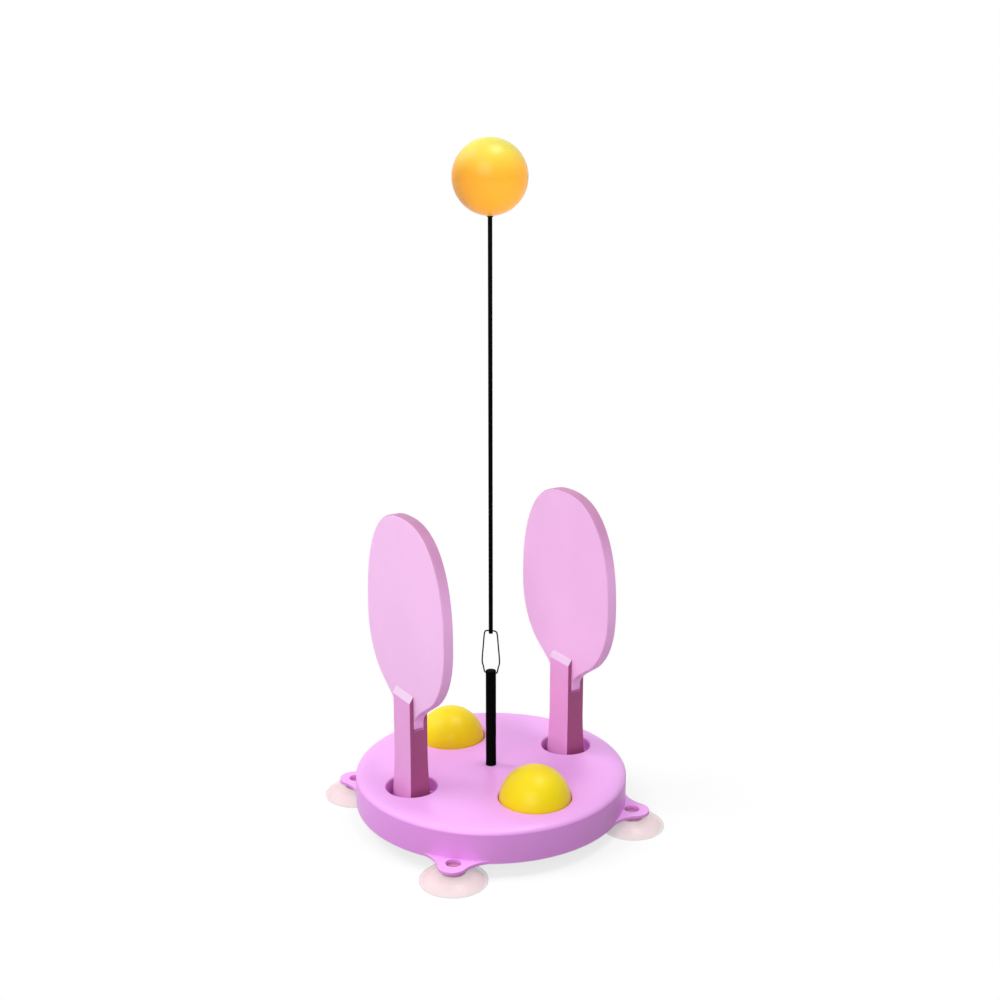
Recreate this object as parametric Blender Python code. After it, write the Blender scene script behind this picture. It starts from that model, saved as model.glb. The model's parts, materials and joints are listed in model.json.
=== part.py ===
"""Table tennis trainer: a ball on a springy shaft, on a round base that holds two rackets and two spare balls.

Metres, +Z up. The origin is on the surface that the suction cups stand on, under the middle of the base.
The rackets stand on X, the spare balls lie on Y and the suction cups are on the diagonals.
"""

import bmesh
import bpy
from math import acos, atan2, cos, pi, radians, sin, sqrt, tan
from mathutils import Matrix, Vector

# Fits between pieces
SEAT_GAP = 0.0003
FLAT_GAP = 0.00015
RUNNING_GAP = 0.0001
CUT_PAST = 0.001

# Base
BASE_RADIUS = 0.078
BASE_UNDERSIDE = 0.0083
BASE_HEIGHT = 0.0204
CROWN_WIDTH = 0.010
CROWN_HEIGHT = 0.004
SIDE_WALL = 0.0024
TOP_PLATE = 0.0024
POCKET_CHAMFER = 0.0006
DIAGONAL_RIB = 0.0016
DIAGONAL_RIB_DEPTH = 0.008
RIB_ROOT = 0.0004
BASE_TOP = BASE_UNDERSIDE + BASE_HEIGHT
PLATE_UNDERSIDE = BASE_TOP - TOP_PLATE
PLATE_MIDDLE = BASE_TOP - TOP_PLATE / 2

# Bottom cover and its screws
COVER_THICKNESS = 0.002
COVER_GAP = SEAT_GAP
COVER_TOP = BASE_UNDERSIDE + COVER_THICKNESS
SCREW_INSET = 0.016
SCREW_RING = BASE_RADIUS - SCREW_INSET
SCREW_BOSS_RADIUS = 0.004
SCREW_RADIUS = 0.00135
SCREW_LENGTH = 0.010
SCREW_HEAD_RADIUS = 0.0027
SCREW_HEAD_HEIGHT = 0.0014
SCREW_BORE_RADIUS = SCREW_RADIUS + SEAT_GAP
INSIDE_FLOOR = COVER_TOP + SEAT_GAP

# Lugs and the collars under them
LUG_OVERHANG = 0.0045
LUG_RING = BASE_RADIUS + LUG_OVERHANG
LUG_THICKNESS = 0.002
LUG_NOSE = 0.002
LUG_TIP_RING = LUG_RING + LUG_NOSE
LUG_TIP_RADIUS = 0.008
LUG_FILLET_RADIUS = 0.020
LUG_HOLE_RADIUS = 0.00415
COLLAR_RADIUS = 0.0065
COLLAR_HEIGHT = 0.0027
COLLAR_LIP_HEIGHT = 0.0009

# Suction cups
CUP_RIM_RADIUS = 0.0185
CUP_RIM_WIDTH = 0.0015
CUP_RIM_THICKNESS = 0.0008
CUP_DOME_RISE = 0.0072
CUP_WALL = 0.0015
CUP_NECK_RADIUS = 0.0035
CUP_HEAD_RADIUS = 0.0047
CUP_WELL_WALL = 0.0015

# Balls and their pockets
BALL_RADIUS = 0.020
BALL_WALL = 0.0005
BALL_SEAM_GAP = 0.0001
BALL_INSET = 0.031
BALL_RING = BASE_RADIUS - BALL_INSET
BALL_SINK = 0.0025
BOWL_WALL = 0.0018
BALL_HEIGHT = BASE_TOP - BALL_SINK
BOWL_RADIUS = BALL_RADIUS + SEAT_GAP
BOWL_OUTER_RADIUS = BOWL_RADIUS + BOWL_WALL

# Rackets and their wells
RACKET_INSET = 0.026
RACKET_RING = BASE_RADIUS - RACKET_INSET
WELL_RADIUS = 0.0143
WELL_WALL = 0.0018
WELL_RIB_THICKNESS = 0.0014
WELL_RIB_TOP = 0.0215
HANDLE_WIDTH = 0.0195
SCALE_THICKNESS = 0.0024
BLADE_THICKNESS = 0.006
HANDLE_CORNER = 0.0007
HANDLE_SHOULDER = 0.0825
SCALE_CHAMFER_HEIGHT = 0.004
HANDLE_FLARE = 0.0015
FLARE_POWER = 1.5
FLARE_TOP = 0.050
TONGUE_END = 0.066
TONGUE_CORNER = 0.002
BLADE_HALF_WIDTH = 0.044
BLADE_TOP = 0.1855
BLADE_MIDDLE = 0.124
BLADE_BELLY = 0.046
CROWN_POWER = 2.4
BELLY_POWER = 2.2
NECK_START = 0.026
NECK_SWEEP = 0.013
NECK_RISE = 0.007
BLADE_EDGE_ROUND = 0.0012
HANDLE_DEPTH = BLADE_THICKNESS + 2 * (SCALE_THICKNESS + FLAT_GAP)
WELL_FLOOR = INSIDE_FLOOR + WELL_WALL
HANDLE_FOOT = WELL_FLOOR + SEAT_GAP

# Post, its washer and its nut
POST_RADIUS = 0.00295
POST_TOP = 0.0868
POST_TAIL_RADIUS = 0.0025
POST_TAIL_CLEARANCE = 0.0006
POST_TAIL_END = COVER_TOP + POST_TAIL_CLEARANCE
POST_SHOULDER = 0.0211
POST_EDGE = 0.0003
BOSS_RADIUS = 0.008
BOSS_END = 0.0156
WASHER_RADIUS = 0.0055
WASHER_THICKNESS = 0.001
NUT_ACROSS_FLATS = 0.008
NUT_HEIGHT = 0.0026

# Spring loop
WIRE_RADIUS = 0.0004
LOOP_HEIGHT = 0.0254
LOOP_BELLY = 0.00505
LOOP_BELLY_HEIGHT = 0.0072
LOOP_SHOULDER = 0.0037
LOOP_HEEL = 0.0008
LOOP_CORNER = 0.0018
EYE_BELOW_TOP = 0.0014
EYE_RADIUS = WIRE_RADIUS + RUNNING_GAP
LOOP_TURN = radians(-45)
LOOP_FOOT = POST_TOP - EYE_BELOW_TOP
LOOP_TOP = LOOP_FOOT + LOOP_HEIGHT

# Shaft, ball plug and top ball
SHAFT_RADIUS = 0.0012
SHAFT_EDGE = 0.00045
SHAFT_BELOW_WIRE = 0.0016
SHAFT_SWAY = radians(18)
TOP_BALL_HEIGHT = 0.361
PLUG_NECK_RADIUS = 0.0018
PLUG_HOLE_RADIUS = PLUG_NECK_RADIUS + RUNNING_GAP
PLUG_LIP_RADIUS = 0.0023
PLUG_LIP_THICKNESS = 0.0005
PLUG_FLANGE_RADIUS = 0.0032
PLUG_FLANGE_THICKNESS = 0.0008
PLUG_LENGTH = 0.006
PLUG_ROOF = 0.001
PLUG_BORE_RADIUS = SHAFT_RADIUS + FLAT_GAP

# Facets
BASE_STEPS = 64
POCKET_STEPS = 28
BALL_STEPS = 24
BALL_RINGS = 6
BALL_INNER_RINGS = 4
CUP_STEPS = 18
SMALL_STEPS = 16
SCREW_STEPS = 10
LOOP_STEPS = 3
CROWN_STEPS = 11
BELLY_STEPS = 7
NECK_STEPS = 7
FLARE_STEPS = 5


# Materials

def material(name, colour, roughness, metallic=0.0):
    made = bpy.data.materials.new(name)
    made.use_nodes = True
    shader = made.node_tree.nodes["Principled BSDF"]
    shader.inputs["Base Color"].default_value = (*colour, 1.0)
    shader.inputs["Roughness"].default_value = roughness
    shader.inputs["Metallic"].default_value = metallic
    return made


def materials():
    return {
        "pink": material("pink_plastic", (0.87, 0.40, 0.80), 0.42),
        "yellow": material("ball_yellow", (0.95, 0.75, 0.06), 0.35),
        "rubber": material("clear_rubber", (0.85, 0.72, 0.76), 0.30),
        "black": material("black_plastic", (0.02, 0.02, 0.02), 0.40),
        "wire": material("black_wire", (0.03, 0.03, 0.03), 0.35, 0.8),
        "steel": material("steel", (0.62, 0.62, 0.64), 0.30, 1.0),
    }


# Shapes

def finish_mesh(bm, name):
    bmesh.ops.recalc_face_normals(bm, faces=bm.faces)
    mesh = bpy.data.meshes.new(name)
    bm.to_mesh(mesh)
    bm.free()
    mesh.shade_smooth()
    mesh.set_sharp_from_angle(angle=radians(32))
    return mesh


def placed(name, mesh, look, location=(0, 0, 0), turn=0.0, parent=None):
    made = bpy.data.objects.new(name, mesh)
    made.data.materials.append(look)
    made.location = location
    made.rotation_euler.z = turn
    made.parent = parent
    bpy.context.collection.objects.link(made)
    return made


def pivot(name, location, turn=0.0, parent=None):
    made = bpy.data.objects.new(name, None)
    made.location = location
    made.rotation_euler.z = turn
    made.parent = parent
    bpy.context.collection.objects.link(made)
    return made


def revolved(name, profile, steps, ring=False):
    """A solid turned about Z from a profile of (radius, height). A ring's profile closes on itself."""
    bm = bmesh.new()
    points = [bm.verts.new((radius, 0, height)) for radius, height in profile]
    pairs = list(zip(points, points[1:]))
    if ring:
        pairs.append((points[-1], points[0]))
    edges = [bm.edges.new(pair) for pair in pairs]
    bmesh.ops.spin(
        bm, geom=points + edges, axis=(0, 0, 1), cent=(0, 0, 0), angle=2 * pi, steps=steps, use_merge=True
    )
    bmesh.ops.remove_doubles(bm, verts=bm.verts, dist=1e-7)
    return finish_mesh(bm, name)


def prism(name, outline, depth, to_place=None):
    """An outline of (x, y) extruded by depth along Z, then placed by a matrix."""
    bm = bmesh.new()
    face = bm.faces.new([bm.verts.new((x, y, 0)) for x, y in outline])
    raised = bmesh.ops.extrude_face_region(bm, geom=[face])["geom"]
    bmesh.ops.translate(bm, verts=[v for v in raised if isinstance(v, bmesh.types.BMVert)], vec=(0, 0, depth))
    if to_place:
        bmesh.ops.transform(bm, matrix=to_place, verts=bm.verts)
    return finish_mesh(bm, name)


def box(name, low, high):
    bm = bmesh.new()
    bmesh.ops.create_cube(bm, size=1)
    size = [b - a for a, b in zip(low, high)]
    middle = [(a + b) / 2 for a, b in zip(low, high)]
    bmesh.ops.transform(bm, matrix=Matrix.Translation(middle) @ Matrix.Diagonal((*size, 1)), verts=bm.verts)
    return finish_mesh(bm, name)


def arc(centre, radius, start, end, steps):
    """Points of an arc in a plane, from one angle to another, both ends included."""
    turns = [start + (end - start) * i / steps for i in range(steps + 1)]
    return [(centre[0] + radius * cos(t), centre[1] + radius * sin(t)) for t in turns]


def cylinder_profile(radius, low, high):
    return [(0, high), (radius, high), (radius, low), (0, low)]


def combine(target, tool, operation):
    """Joins a helper solid to a piece, or cuts it away."""
    step = target.modifiers.new(tool.name, "BOOLEAN")
    step.operation = operation
    step.solver = "EXACT"
    step.object = tool
    tool.hide_render = True
    tool.display_type = "WIRE"


def add_to(target, name, mesh, location=(0, 0, 0), turn=0.0):
    tool = placed("add_" + name, mesh, target.data.materials[0], location, turn)
    combine(target, tool, "UNION")


def cut_from(target, name, mesh, location=(0, 0, 0), turn=0.0):
    tool = placed("cut_" + name, mesh, target.data.materials[0], location, turn)
    combine(target, tool, "DIFFERENCE")


def polar(radius, turn, height=0.0):
    return Vector((radius * cos(turn), radius * sin(turn), height))


DIAGONALS = {
    "rear_right": radians(45),
    "rear_left": radians(135),
    "front_left": radians(225),
    "front_right": radians(315),
}
BALL_PLACES = {"front": (0, -BALL_RING), "rear": (0, BALL_RING)}
RACKET_PLACES = {"left": (-RACKET_RING, 0), "right": (RACKET_RING, 0)}


# Base shell: a shallow moulded cap with ball bowls, racket wells, bosses, ribs and four lugs

def shell_profile():
    crown = arc((0, 0), 1, pi / 2, 0, 5)
    outer = [
        (BASE_RADIUS - CROWN_WIDTH + CROWN_WIDTH * x, BASE_TOP - CROWN_HEIGHT + CROWN_HEIGHT * y) for x, y in crown
    ]
    inner_radius = BASE_RADIUS - SIDE_WALL
    inner = [
        (inner_radius, BASE_UNDERSIDE),
        (inner_radius, BASE_TOP - CROWN_HEIGHT - TOP_PLATE / 2),
        (BASE_RADIUS - CROWN_WIDTH, PLATE_UNDERSIDE),
        (0, PLATE_UNDERSIDE),
    ]
    return [(0, BASE_TOP)] + outer + [(BASE_RADIUS, BASE_UNDERSIDE)] + inner


def lug_outline():
    """A round tip, centred a little past the hole, that flows into the base's side through two hollow fillets."""
    fillet_ring = BASE_RADIUS + LUG_FILLET_RADIUS
    reach = LUG_TIP_RADIUS + LUG_FILLET_RADIUS
    spread = acos((LUG_TIP_RING**2 + fillet_ring**2 - reach**2) / (2 * LUG_TIP_RING * fillet_ring))
    fillet = (fillet_ring * cos(spread), fillet_ring * sin(spread))
    lean = atan2(fillet[1], fillet[0] - LUG_TIP_RING)
    upper = arc(fillet, LUG_FILLET_RADIUS, pi + spread, pi + lean, 4)
    lower = [(x, -y) for x, y in reversed(upper)]
    tip = arc((LUG_TIP_RING, 0), LUG_TIP_RADIUS, lean, -lean, 10)
    root = arc((0, 0), BASE_RADIUS - SIDE_WALL / 2, -spread, spread, 6)
    return root + upper + tip[1:-1] + lower


def collar_cut_profile():
    """The hole through a lug and its collar: wide in the middle, with a lip below that holds the cup's head."""
    low = BASE_UNDERSIDE - COLLAR_HEIGHT
    lip = low + COLLAR_LIP_HEIGHT
    head_room = CUP_HEAD_RADIUS + SEAT_GAP
    lip_radius = CUP_NECK_RADIUS + SEAT_GAP
    top = BASE_UNDERSIDE + LUG_THICKNESS + CUT_PAST
    return [
        (0, top),
        (LUG_HOLE_RADIUS, top),
        (LUG_HOLE_RADIUS, BASE_UNDERSIDE),
        (head_room, BASE_UNDERSIDE),
        (head_room, lip),
        (lip_radius, lip),
        (lip_radius, low - CUT_PAST),
        (0, low - CUT_PAST),
    ]


def bowl_profile():
    """The outside of a ball bowl, cut flat at the base's underside, about the ball's centre."""
    lean = acos((BALL_HEIGHT - BASE_UNDERSIDE) / BOWL_OUTER_RADIUS)
    round_part = arc((0, BALL_HEIGHT), BOWL_OUTER_RADIUS, 0, lean - pi / 2, 4)
    return [(0, PLATE_MIDDLE), (BOWL_OUTER_RADIUS, PLATE_MIDDLE)] + round_part + [(0, BASE_UNDERSIDE)]


def bowl_cut_profile():
    mouth = BOWL_RADIUS + POCKET_CHAMFER
    round_part = arc((0, BALL_HEIGHT), BOWL_RADIUS, 0, -pi / 2, 7)
    return [
        (0, BASE_TOP + CUT_PAST),
        (mouth + CUT_PAST, BASE_TOP + CUT_PAST),
        (BOWL_RADIUS, BASE_TOP - POCKET_CHAMFER),
    ] + round_part


def well_cut_profile():
    mouth = WELL_RADIUS + POCKET_CHAMFER
    return [
        (0, BASE_TOP + CUT_PAST),
        (mouth + CUT_PAST, BASE_TOP + CUT_PAST),
        (WELL_RADIUS, BASE_TOP - POCKET_CHAMFER),
        (WELL_RADIUS, WELL_FLOOR),
        (0, WELL_FLOOR),
    ]


def base_shell(look):
    shell = placed("base_shell", revolved("base_shell", shell_profile(), BASE_STEPS), look)
    for name, turn in DIAGONALS.items():
        lug = prism("lug", lug_outline(), LUG_THICKNESS)
        add_to(shell, "lug_" + name, lug, (0, 0, BASE_UNDERSIDE), turn)
        collar = cylinder_profile(COLLAR_RADIUS, BASE_UNDERSIDE - COLLAR_HEIGHT, BASE_UNDERSIDE + LUG_THICKNESS / 2)
        add_to(shell, "collar_" + name, revolved("collar", collar, SMALL_STEPS), polar(LUG_RING, turn))
        boss = cylinder_profile(SCREW_BOSS_RADIUS, INSIDE_FLOOR, PLATE_MIDDLE)
        add_to(shell, "screw_boss_" + name, revolved("screw_boss", boss, SMALL_STEPS), polar(SCREW_RING, turn))
    centre = cylinder_profile(BOSS_RADIUS, BOSS_END, PLATE_MIDDLE)
    add_to(shell, "centre_boss", revolved("centre_boss", centre, SMALL_STEPS))
    reach = BASE_RADIUS - SIDE_WALL + RIB_ROOT
    for name, turn in (("a", pi / 4), ("b", -pi / 4)):
        half = DIAGONAL_RIB / 2
        root = PLATE_UNDERSIDE + RIB_ROOT
        rib = box("rib", (-reach, -half, PLATE_UNDERSIDE - DIAGONAL_RIB_DEPTH), (reach, half, root))
        add_to(shell, "rib_" + name, rib, turn=turn)
    for name, (x, y) in BALL_PLACES.items():
        add_to(shell, "bowl_" + name, revolved("bowl", bowl_profile(), POCKET_STEPS), (x, y, 0))
    for name, (x, y) in RACKET_PLACES.items():
        well = cylinder_profile(WELL_RADIUS + WELL_WALL, INSIDE_FLOOR, PLATE_MIDDLE)
        add_to(shell, "well_" + name, revolved("well", well, POCKET_STEPS), (x, y, 0))
    for name, (x, y) in BALL_PLACES.items():
        cut_from(shell, "bowl_" + name, revolved("bowl_cut", bowl_cut_profile(), POCKET_STEPS), (x, y, 0))
    for name, (x, y) in RACKET_PLACES.items():
        cut_from(shell, "well_" + name, revolved("well_cut", well_cut_profile(), POCKET_STEPS), (x, y, 0))
        for side, rib in well_ribs().items():
            add_to(shell, "well_rib_" + name + "_" + side, rib, (x, y, 0))
    for name, turn in DIAGONALS.items():
        hole = revolved("lug_hole", collar_cut_profile(), SMALL_STEPS)
        cut_from(shell, "lug_hole_" + name, hole, polar(LUG_RING, turn))
        bore = cylinder_profile(SCREW_BORE_RADIUS, INSIDE_FLOOR - CUT_PAST, BASE_UNDERSIDE + SCREW_LENGTH + CUT_PAST)
        cut_from(shell, "screw_bore_" + name, revolved("bore", bore, SCREW_STEPS), polar(SCREW_RING, turn))
    cut_from(shell, "post_bore", revolved("post_bore", post_bore_profile(), SMALL_STEPS))
    return shell


def well_ribs():
    """Four upright ribs in a racket well that stand just clear of the handle's foot and keep it upright."""
    foot_x = HANDLE_DEPTH / 2 + HANDLE_FLARE + SEAT_GAP
    foot_y = HANDLE_WIDTH / 2 + HANDLE_FLARE + SEAT_GAP
    half = WELL_RIB_THICKNESS / 2
    reach = WELL_RADIUS + WELL_WALL / 2
    low = WELL_FLOOR - WELL_WALL / 2
    return {
        "east": box("well_rib", (foot_x, -half, low), (reach, half, WELL_RIB_TOP)),
        "west": box("well_rib", (-reach, -half, low), (-foot_x, half, WELL_RIB_TOP)),
        "north": box("well_rib", (-half, foot_y, low), (half, reach, WELL_RIB_TOP)),
        "south": box("well_rib", (-half, -reach, low), (half, -foot_y, WELL_RIB_TOP)),
    }


def post_bore_profile():
    """A stepped bore: the post's shoulder rests on the step, and its tail goes on through."""
    wide = POST_RADIUS + FLAT_GAP
    narrow = POST_TAIL_RADIUS + FLAT_GAP
    step = POST_SHOULDER - SEAT_GAP
    return [
        (0, BASE_TOP + CUT_PAST),
        (wide, BASE_TOP + CUT_PAST),
        (wide, step),
        (narrow, step),
        (narrow, BOSS_END - CUT_PAST),
        (0, BOSS_END - CUT_PAST),
    ]


# Bottom cover and screws

def bottom_cover(look):
    disc = cylinder_profile(BASE_RADIUS - SIDE_WALL - COVER_GAP, BASE_UNDERSIDE, COVER_TOP)
    cover = placed("bottom_cover", revolved("bottom_cover", disc, BASE_STEPS), look)
    bowl_at_cover = sqrt(BOWL_OUTER_RADIUS**2 - (BALL_HEIGHT - COVER_TOP) ** 2)
    low, high = BASE_UNDERSIDE - CUT_PAST, COVER_TOP + CUT_PAST
    for name, (x, y) in BALL_PLACES.items():
        hole = cylinder_profile(bowl_at_cover + COVER_GAP, low, high)
        cut_from(cover, "cover_hole_" + name, revolved("cover_hole", hole, POCKET_STEPS), (x, y, 0))
    head = SCREW_HEAD_RADIUS + SEAT_GAP
    bore = SCREW_RADIUS + SEAT_GAP
    sink = BASE_UNDERSIDE + SCREW_HEAD_HEIGHT
    countersink = [(0, high), (bore, high), (bore, sink), (head, BASE_UNDERSIDE), (head, low), (0, low)]
    for name, turn in DIAGONALS.items():
        cut_from(cover, "countersink_" + name, revolved("cut", countersink, SCREW_STEPS), polar(SCREW_RING, turn))
    return cover


def cover_screws(look):
    tip = BASE_UNDERSIDE + SCREW_LENGTH
    profile = [
        (0, tip),
        (SCREW_RADIUS / 2, tip),
        (SCREW_RADIUS, tip - SCREW_RADIUS),
        (SCREW_RADIUS, BASE_UNDERSIDE + SCREW_HEAD_HEIGHT),
        (SCREW_HEAD_RADIUS, BASE_UNDERSIDE + SEAT_GAP / 2),
        (0, BASE_UNDERSIDE + SEAT_GAP / 2),
    ]
    for name, turn in DIAGONALS.items():
        placed("cover_screw_" + name, revolved("cover_screw", profile, SCREW_STEPS), look, polar(SCREW_RING, turn))


# Suction cups

def cup_profile():
    """A thin dome on a flat rim ring, with a sunk well for the lug's collar and a mushroom head in its middle."""
    rise = CUP_DOME_RISE
    dome_radius = (rise**2 + CUP_RIM_RADIUS**2) / (2 * rise)
    centre = CUP_RIM_THICKNESS + rise - dome_radius
    inner_radius = dome_radius - CUP_WALL
    collar_foot = BASE_UNDERSIDE - COLLAR_HEIGHT
    well_floor = collar_foot - SEAT_GAP
    well_radius = COLLAR_RADIUS + SEAT_GAP
    roof = well_floor - CUP_WELL_WALL
    head_low = collar_foot + COLLAR_LIP_HEIGHT + FLAT_GAP
    head_high = BASE_UNDERSIDE - SEAT_GAP
    rim_inner = CUP_RIM_RADIUS - CUP_RIM_WIDTH
    dome = arc((0, centre), dome_radius, acos(well_radius / dome_radius), acos(CUP_RIM_RADIUS / dome_radius), 4)
    lean_out = acos(rim_inner / inner_radius)
    lean_in = acos(sqrt(inner_radius**2 - (roof - centre) ** 2) / inner_radius)
    hollow = arc((0, centre), inner_radius, lean_out, lean_in, 2)
    return (
        [
            (0, head_high),
            (CUP_HEAD_RADIUS, head_high),
            (CUP_HEAD_RADIUS, head_low),
            (CUP_NECK_RADIUS, head_low),
            (CUP_NECK_RADIUS, well_floor),
            (well_radius, well_floor),
        ]
        + dome
        + [(CUP_RIM_RADIUS, 0), (rim_inner, 0)]
        + hollow
        + [(0, roof)]
    )


def suction_cups(look):
    for name, turn in DIAGONALS.items():
        mesh = revolved("suction_cup", cup_profile(), CUP_STEPS)
        placed("suction_cup_" + name, mesh, look, polar(LUG_RING, turn))


# Post, washer and nut

def post(look):
    profile = [
        (0, POST_TOP),
        (POST_RADIUS - POST_EDGE, POST_TOP),
        (POST_RADIUS, POST_TOP - POST_EDGE),
        (POST_RADIUS, POST_SHOULDER),
        (POST_TAIL_RADIUS, POST_SHOULDER),
        (POST_TAIL_RADIUS, POST_TAIL_END + POST_EDGE),
        (POST_TAIL_RADIUS - POST_EDGE, POST_TAIL_END),
        (0, POST_TAIL_END),
    ]
    shank = placed("post", revolved("post", profile, SMALL_STEPS), look)
    across = Matrix.Rotation(LOOP_TURN, 4, "Z") @ Matrix.Rotation(pi / 2, 4, "Y")
    reach = POST_RADIUS + CUT_PAST
    eye = prism("eye", arc((0, 0), EYE_RADIUS, 0, 2 * pi, SCREW_STEPS)[:-1], 2 * reach)
    eye.transform(Matrix.Translation((0, 0, LOOP_FOOT)) @ across @ Matrix.Translation((0, 0, -reach)))
    cut_from(shank, "post_eye", eye)


def post_fixings(look):
    bore = POST_TAIL_RADIUS + FLAT_GAP
    high = BOSS_END - SEAT_GAP
    low = high - WASHER_THICKNESS
    ring = [(WASHER_RADIUS, high), (WASHER_RADIUS, low), (bore, low), (bore, high)]
    placed("post_washer", revolved("post_washer", ring, SMALL_STEPS, ring=True), look)
    corner = NUT_ACROSS_FLATS / 2 / cos(pi / 6)
    top = low - FLAT_GAP
    hexagon = prism("post_nut", arc((0, 0), corner, 0, 2 * pi, 6)[:-1], NUT_HEIGHT)
    nut = placed("post_nut", hexagon, look, (0, 0, top - NUT_HEIGHT))
    hole = cylinder_profile(bore, top - NUT_HEIGHT - CUT_PAST, top + CUT_PAST)
    cut_from(nut, "nut_bore", revolved("nut_bore", hole, SMALL_STEPS))


# Spring loop

def smooth_closed(points, steps):
    """Points of a smooth closed curve through the given ones, with each tangent set by a point's neighbours."""
    found = []
    count = len(points)
    for i in range(count):
        before, start, end, after = (Vector(points[(i + k) % count]) for k in (-1, 0, 1, 2))
        for k in range(steps):
            t = k / steps
            lead = 2 * t**3 - 3 * t**2
            found.append(
                (1 + lead) * start
                - lead * end
                + (t**3 - 2 * t**2 + t) * (end - before) / 2
                + (t**3 - t**2) * (after - start) / 2
            )
    return found


def loop_path():
    """The wire's middle line: a straight foot in the post's eye, a round belly, nearly straight sides, a flat top."""
    foot = POST_RADIUS
    side = [
        (foot, 0),
        (foot + LOOP_HEEL, LOOP_HEEL),
        ((foot + 2 * LOOP_BELLY) / 3, LOOP_BELLY_HEIGHT / 2),
        (LOOP_BELLY, LOOP_BELLY_HEIGHT),
        ((LOOP_BELLY + LOOP_SHOULDER) / 2, (LOOP_BELLY_HEIGHT + LOOP_HEIGHT) / 2),
        (LOOP_SHOULDER, LOOP_HEIGHT - LOOP_CORNER),
        (LOOP_SHOULDER - LOOP_CORNER / 2, LOOP_HEIGHT - LOOP_CORNER / 8),
        (SHAFT_RADIUS + WIRE_RADIUS, LOOP_HEIGHT),
    ]
    left = [(-x, z) for x, z in reversed(side)]
    closed = [(0, 0)] + side + [(0, LOOP_HEIGHT)] + left
    return smooth_closed([(x, 0, z) for x, z in closed], LOOP_STEPS)


def spring_loop(look, parent):
    curve = bpy.data.curves.new("spring_loop", "CURVE")
    curve.dimensions = "3D"
    spline = curve.splines.new("POLY")
    path = loop_path()
    spline.points.add(len(path) - 1)
    for point, place in zip(spline.points, path):
        point.co = (*place, 1)
    spline.use_cyclic_u = True
    spline.use_smooth = True
    curve.bevel_depth = WIRE_RADIUS
    curve.bevel_resolution = 1
    return placed("spring_loop", curve, look, parent=parent)


# Shaft, plug and balls

def shaft(look, parent):
    """A plain round rod, cross-slotted at its foot. The slot flares both ways, so that the rod can rock on the wire."""
    low = -SHAFT_BELOW_WIRE
    high = TOP_BALL_HEIGHT - BALL_RADIUS + PLUG_LENGTH - PLUG_ROOF - SEAT_GAP - LOOP_TOP
    profile = [
        (0, high),
        (SHAFT_RADIUS - SHAFT_EDGE, high),
        (SHAFT_RADIUS, high - SHAFT_EDGE),
        (SHAFT_RADIUS, low + SHAFT_EDGE),
        (SHAFT_RADIUS - SHAFT_EDGE, low),
        (0, low),
    ]
    rod = placed("shaft", revolved("shaft", profile, SCREW_STEPS), look, parent=parent)
    half = WIRE_RADIUS + RUNNING_GAP / 2
    reach = SHAFT_RADIUS + CUT_PAST
    mouth = half / cos(SHAFT_SWAY) + reach * tan(SHAFT_SWAY)
    outline = [(-reach, -mouth), (0, -half), (reach, -mouth), (reach, mouth), (0, half), (-reach, mouth)]
    slot = prism("slot", outline, 2 * half, Matrix.Rotation(pi / 2, 4, "X") @ Matrix.Translation((0, 0, -half)))
    slot_tool = placed("cut_shaft_slot", slot, look, parent=parent)
    combine(rod, slot_tool, "DIFFERENCE")
    return rod


def ball_plug(look, parent):
    """A hollow plug on the shaft's top: a lip under the ball, a neck in the ball's hole and a flange inside it."""
    bottom = TOP_BALL_HEIGHT - BALL_RADIUS - LOOP_TOP
    lip_high = bottom - RUNNING_GAP / 2
    lip_low = lip_high - PLUG_LIP_THICKNESS
    hollow = BALL_RADIUS - BALL_WALL
    flange_low = bottom + BALL_RADIUS - sqrt(hollow**2 - PLUG_FLANGE_RADIUS**2) + SEAT_GAP
    flange_high = flange_low + PLUG_FLANGE_THICKNESS
    roof = bottom + PLUG_LENGTH
    bore_top = roof - PLUG_ROOF
    profile = [
        (0, roof),
        (PLUG_NECK_RADIUS, roof),
        (PLUG_NECK_RADIUS, flange_high),
        (PLUG_FLANGE_RADIUS, flange_high),
        (PLUG_FLANGE_RADIUS, flange_low),
        (PLUG_NECK_RADIUS, flange_low),
        (PLUG_NECK_RADIUS, lip_high),
        (PLUG_LIP_RADIUS, lip_high),
        (PLUG_LIP_RADIUS, lip_low),
        (PLUG_BORE_RADIUS, lip_low),
        (PLUG_BORE_RADIUS, bore_top),
        (0, bore_top),
    ]
    return placed("ball_plug", revolved("ball_plug", profile, SMALL_STEPS), look, parent=parent)


def half_ball(name, upper, look, parent, hole=0.0):
    """One half of a hollow ball, seamed round its middle. The plugged half starts at the edge of its hole."""
    hollow = BALL_RADIUS - BALL_WALL
    outer = arc((0, 0), BALL_RADIUS, 0, acos(hole / BALL_RADIUS), BALL_RINGS)
    inner = arc((0, 0), hollow, 0, acos(hole / hollow), BALL_INNER_RINGS)
    seam = BALL_SEAM_GAP / 2
    outer = [(r, max(z, seam)) for r, z in outer]
    inner = [(r, max(z, seam)) for r, z in inner]
    if hole:
        mesh = revolved(name, outer + inner[::-1], BALL_STEPS, ring=True)
    else:
        outer[-1] = (0, BALL_RADIUS)
        inner[-1] = (0, hollow)
        mesh = revolved(name, outer[::-1] + inner, BALL_STEPS)
    if not upper:
        mesh.transform(Matrix.Rotation(pi, 4, "X"))
    return placed(name, mesh, look, parent=parent)


def ball(name, look, parent, hole=0.0):
    half_ball(name + "_upper", True, look, parent)
    half_ball(name + "_lower", False, look, parent, hole)


# Rackets

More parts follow.
